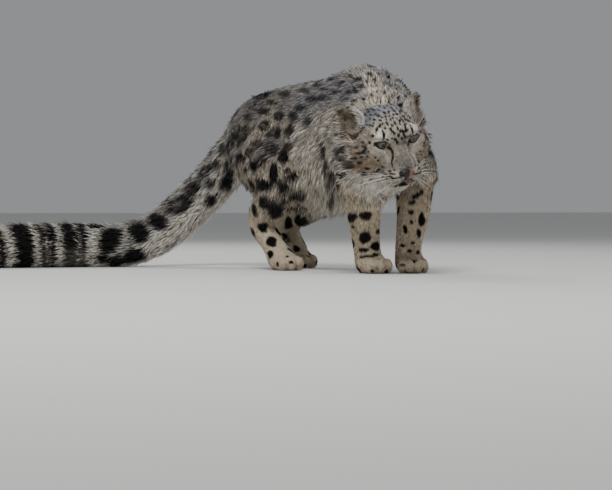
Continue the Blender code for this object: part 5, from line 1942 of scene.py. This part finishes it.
@dataclass
class Ear:
    """A cupped ear with a blunt tip, furred inside and out, with its root set into the head."""

    side: int
    at: tuple[float, float, float] = (0.0755, 0.083, 0.034)
    half: tuple[float, float, float] = (0.0275, 0.015, 0.036)
    lean: tuple[float, float, float] = (-12, 52, 30)
    inner: str = "#887C6B"
    # Painted shade of the furrows inside the ear.
    furrow_shade: str = "#4A3F35"
    outer: str = "#928B82"
    edge: str = "#D9D4CA"
    skin: str = "#6E6156"
    sink: float = 0.0006  # how deep the tufts' feet stand in the skin

    @property
    def name(self) -> str:
        """The ear's name."""
        return "ear_left" if self.side > 0 else "ear_right"

    def frame(self) -> Matrix:
        """The ear's frame: +Z is its tip, and it opens towards -Y."""
        back, lean, out = self.lean
        x, y, z = self.at
        turn = spun((back, self.side * lean, self.side * out))
        return head_frame() @ Matrix.Translation((self.side * x, y, z)) @ turn

    def _taper(self, obj: Piece) -> None:
        """Narrows the ear towards its tip."""
        frame, inverse = self.frame(), self.frame().inverted()
        for point in obj.data.vertices:
            local = inverse @ point.co
            local.x *= 1 - 0.68 * min(max(local.z / self.half[2], 0), 1) ** 1.1
            point.co = frame @ local

    def build(self) -> Piece:
        """Makes the ear's skin."""
        frame = self.frame()
        shape = bmesh.new()
        add_ball(shape, (0, 0, 0), self.half, frame=frame, segments=32)
        add_ball(shape, (0, 0.002, -0.02), (0.022, 0.014, 0.02), frame=frame, segments=32)
        ear = from_bmesh("skin_" + self.name, shape)
        fuse(ear, 0.0016, 2)
        wide, deep, high = self.half
        inside = [wide - 0.0035, deep - 0.001, high - 0.0045]
        boolean(ear, ball("cup", (0, -0.0105, 0.002), inside, frame, segments=32), "DIFFERENCE")
        fuse(ear, 0.0016, 3)
        self._taper(ear)
        unwrap(ear)
        ear.data.shade_smooth()
        return ear

    def dress(self, ear: Piece, faces: int) -> Piece:
        """Grows the ear's hair.

        Args:
            ear: The ear's skin.
            faces: The most faces of its hair.

        Returns:
            The hair as one piece.
        """
        surface = Surface.of(ear)
        draw = np.random.default_rng(40 + self.side)
        inverse = np.array(self.frame().inverted())
        turn = np.array(self.frame().to_3x3())
        count = faces // 10
        root, normal, flat = surface.scatter(surface.areas(), count, draw)
        normal /= np.linalg.norm(normal, axis=1, keepdims=True)
        local = local_to(inverse, root)
        facing = normal @ turn
        reach = np.hypot(local[:, 0] / (self.half[0] - 0.001), local[:, 2] / self.half[2])
        inner = (facing[:, 1] < 0.1) & (reach < 0.97)
        low = np.clip((0.01 - local[:, 2]) / 0.03, 0, 1)
        ways = np.where(inner[:, None], (self.side * 0.35, -0.3, 0.9), (0, 0.1, 1.0)) @ turn.T
        length = np.where(inner, 0.012 + 0.01 * low, 0.008 + 0.008 * low) * draw.uniform(0.75, 1.2, count)
        width = 0.0013 * draw.uniform(0.8, 1.25, count)
        rise = np.where(inner, 0.004, 0.0018) * draw.uniform(0.5, 1.4, count)
        colour = self._colours(local, facing, inner, smooth_step(0.78, 0.98, reach), draw)
        lie = lay_flat(ways, normal, draw.normal(0, 0.16, count))
        middle = root + lie * (length * 0.5)[:, None] + normal * (rise * 0.7)[:, None]
        tip = root + lie * length[:, None] + normal * rise[:, None]
        tufts = Tufts(root, normal, flat, lie, width, middle, normal, tip, colour, colour)
        hair = join_blades("coat_" + self.name, [tufts.blades(np.arange(count), True, self.sink)])
        dress(hair, FurFinish(name="ear_fur_" + self.name[4:]).material())
        paint_points(ear.data, np.ones((len(surface.points), 3)) * to_linear(self.skin))
        dress(ear, HideFinish(name="ear_hide_" + self.name[4:]).material())
        return hair

    def _colours(
        self, local: Array, facing: Array, inner: Array, rim: Array, draw: np.random.Generator
    ) -> Array:
        """Tan with painted shade of furrows inside, a pale edge, and grey with a dark middle behind."""
        inner = inner[:, None]
        tone = np.where(inner, to_linear(self.inner), to_linear(self.outer))
        # Painted shade: dark streaks inside the cup stand for the shade in furrows that the mesh does not
        # have.
        furrow_shade = np.clip(ripple(local * (0.8, 1, 2.6), 0.014, 8) * 3.0 - 0.4, 0, 1)[:, None] * inner * 0.85
        colour = mixed(tone, np.array(to_linear(self.furrow_shade)), furrow_shade)
        behind = (~inner) * np.clip(1 - np.abs(facing[:, 1:2] - 0.95) / 0.4, 0, 1)
        colour = colour * (1 - 0.6 * behind)
        middle_edge = smooth_step(-0.1, 0.5, -self.side * local[:, 0] / self.half[0])
        pale = (rim * (0.15 + (0.6 if self.side < 0 else 0.3) * middle_edge))[:, None] * (1 - behind)
        colour = mixed(colour, np.array(to_linear(self.edge)), pale)
        return np.clip(colour * np.clip(1 + draw.normal(0, 0.16, len(local)), 0.5, 1.6)[:, None], 0, 0.9)


@dataclass
class Whiskers:
    """Long white whiskers in rows on each pad, and a few over the eyes."""

    surface: Surface
    rows: int = 4
    in_row: int = 5
    thickness: float = 0.0004
    seed: int = 9

    def build(self) -> Piece:
        """Makes all the whiskers as one piece."""
        frame = head_frame()
        turn = frame.to_3x3()
        draw = random.Random(self.seed)
        shape = bmesh.new()
        for side in SIDES:
            for row in range(self.rows):
                for k in range(self.in_row):
                    pad = Vector((side * (0.021 + 0.0062 * k), -0.052 + 0.0085 * k, -0.0635 - 0.0058 * row))
                    spot, facing, _, _ = self.surface.tree.find_nearest(frame @ pad)
                    back = draw.uniform(0.3, 0.6) + 0.14 * k
                    way = Vector((side * 1.0, back, -0.06 - 0.2 * row + draw.uniform(-0.1, 0.1)))
                    length = draw.uniform(0.06, 0.095) * (0.8 + 0.1 * k)
                    self._add(shape, spot, turn @ way.normalized(), facing, length)
            for k in range(4):
                start = frame @ Vector((side * (0.034 + 0.005 * k), 0.03, 0.012))
                aim = turn @ Vector((side * 0.1 * k, -1, 0.45))
                spot, facing, _, _ = self.surface.tree.ray_cast(start, aim.normalized())
                if spot is not None:
                    way = turn @ Vector((side * (0.2 + 0.12 * k), 0.25, 1.0)).normalized()
                    self._add(shape, spot, way, facing, draw.uniform(0.035, 0.05))
        material = PlainFinish("whisker_keratin", "#E9E4DA", 0.4, 6.0, 0.0, 0.12).material()
        return finished("whiskers", shape, material)

    def _add(self, shape: Shape, root: Vector, way: Vector, facing: Vector, length: float) -> None:
        """Adds one whisker that leaves the skin and bends down under its weight."""
        path, radii = [], []
        for k in range(8):
            s = k / 7
            leave = facing * 0.1 * length * s * (1 - s) * 2
            droop = Vector((0, 0, -0.22 * length * s * s))
            path.append(root + way * length * s + leave + droop - facing * 0.001 * (1 - s))
            radii.append(self.thickness * (1 - 0.85 * s) + 0.00005)
        up = [way.cross(facing).normalized()] * len(path)
        add_tube(shape, path, radii, up, count=4)


# ---- Studio


@dataclass
class Studio:
    """A plain pale floor and plain soft light."""

    floor_tone: str = "#D9D8D5"

    def build(self) -> None:
        """Makes the floor and the lights."""
        shape = bmesh.new()
        bmesh.ops.create_grid(shape, x_segments=1, y_segments=1, size=60)
        floor = from_bmesh("studio_floor", shape)
        dress(floor, PlainFinish("studio_paper", self.floor_tone, 0.9, 4.0, 0.0, 0.02).material())
        self._lamp("key", (-1.9, -2.2, 3.4), 1.5, 145)
        self._lamp("fill", (3.0, -1.6, 1.8), 2.6, 18)
        self._lamp("rim", (0.6, 3.0, 2.6), 2.0, 60)
        world = bpy.data.worlds.new("studio")
        world.use_nodes = True
        background = world.node_tree.nodes["Background"]
        background.inputs["Color"].default_value = (0.8, 0.82, 0.85, 1)
        background.inputs["Strength"].default_value = 0.36
        bpy.context.scene.world = world

    def _lamp(self, name: str, at: Row, size: float, power: float) -> None:
        """Adds a large soft lamp that looks at the animal."""
        data = bpy.data.lights.new(name, "AREA")
        data.size, data.energy = size, power
        lamp = bpy.data.objects.new(name, data)
        bpy.context.scene.collection.objects.link(lamp)
        way = Vector((0, 0, 0.25)) - Vector(at)
        lamp.matrix_world = Matrix.Translation(at) @ way.to_track_quat("-Z", "Y").to_matrix().to_4x4()


# ---- Putting it together


def bare_places(mouth: Mouth) -> Callable[[Array], Array]:
    """Says where no hair grows: the eyes' openings, the nose leather and the lips."""
    inverse = np.array(head_frame().inverted())
    lips = np.array([spot for spot, _ in mouth.path()])
    eyes = [Eye(side) for side in SIDES]
    frames = [np.array(eye.frame().inverted()) for eye in eyes]

    def bare(places: Array) -> Array:
        local = local_to(inverse, places)
        near = (np.abs(local) < 0.2).all(axis=1)
        found = np.zeros(len(places), bool)
        for eye, frame in zip(eyes, frames):
            spots = local_to(frame, places)
            wide = spots[:, 0] / (eye.opening[0] + 0.0012)
            high = spots[:, 2] / (eye.opening[1] + 0.0014)
            found |= (np.hypot(wide, high) < 1) & (spots[:, 1] < 0) & (spots[:, 1] > -0.03)
        pad = np.linalg.norm((local - (0, -0.048, -0.059)) / (0.018, 0.02, 0.0098), axis=1)
        found |= pad < 1
        line = np.flatnonzero(near)
        if len(line) and len(lips):
            gap = np.linalg.norm(places[line][:, None] - lips[None], axis=2).min(axis=1)
            found[line] |= gap < 0.0025
        return found & near

    return bare


def settle(obj: Piece, origin: Vector, nodes: Sequence[str] = ()) -> None:
    """Moves a finished piece into the row's frame and says what it is.

    Args:
        obj: The piece, in the body's frame.
        origin: Where that frame stands.
        nodes: The CAD nodes that the piece stands for.
    """
    obj.data.transform(Matrix.Translation(origin))
    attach(obj, BODY)
    if nodes:
        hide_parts(*nodes)
    LOG.info("%s: %d faces", obj.name, len(obj.data.polygons))


def find_origin() -> Vector:
    """Where the body's frame stands in the row's frame, from the left eye."""
    low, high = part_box("eye_left")
    middle = (Vector(low) + Vector(high)) / 2
    return middle - head_frame() @ Vector((EYE_SPREAD, EYE_DEPTH, 0))


def main() -> None:
    """Builds the animal piece by piece and reports each."""
    logging.basicConfig(level=logging.INFO, format="%(relativeCreated)6d ms  %(message)s")
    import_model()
    origin = find_origin()
    LOG.info("origin %s", tuple(round(v, 4) for v in origin))
    camera = Camera()
    camera.build(origin)
    Studio().build()

    animal = Animal()
    coat = CoatMap(animal)
    maker = Skin(animal, coat)
    skin = maker.build()
    surface = Surface.of(skin)
    markings = Markings(surface, coat, camera)
    LOG.info("%d marks", len(markings.marks))
    maker.paint(skin, surface, markings)

    mouth = Mouth(surface)
    lips, tongue = mouth.build(), mouth.tongue()
    barber = Barber(surface, coat, markings, bare_places(mouth))
    for piece, slot in WinterCoat(surface, coat, barber).build():
        settle(piece, origin)
    whiskers = Whiskers(surface).build()
    settle(skin, origin, maker.nodes)
    settle(lips, origin)
    settle(tongue, origin, ["tongue"])
    settle(whiskers, origin)

    nose_maker = Nose()
    nose = nose_maker.build()
    settle(nose, origin, ["nose"])
    nose_maker.finish(nose, origin)
    for side in SIDES:
        eye_maker = Eye(side)
        eye = eye_maker.build()
        settle(eye, origin, [eye_maker.name])
        eye_maker.finish(eye, origin)
        settle(eye_maker.rim(surface), origin)
        ear_maker = Ear(side) if side < 0 else Ear(side, at=(0.081, 0.083, 0.034), lean=(-12, 44, 30))
        ear = ear_maker.build()
        hair = ear_maker.dress(ear, 28000)
        settle(ear, origin, [ear_maker.name])
        settle(hair, origin)


if __name__ == "__main__":
    main()
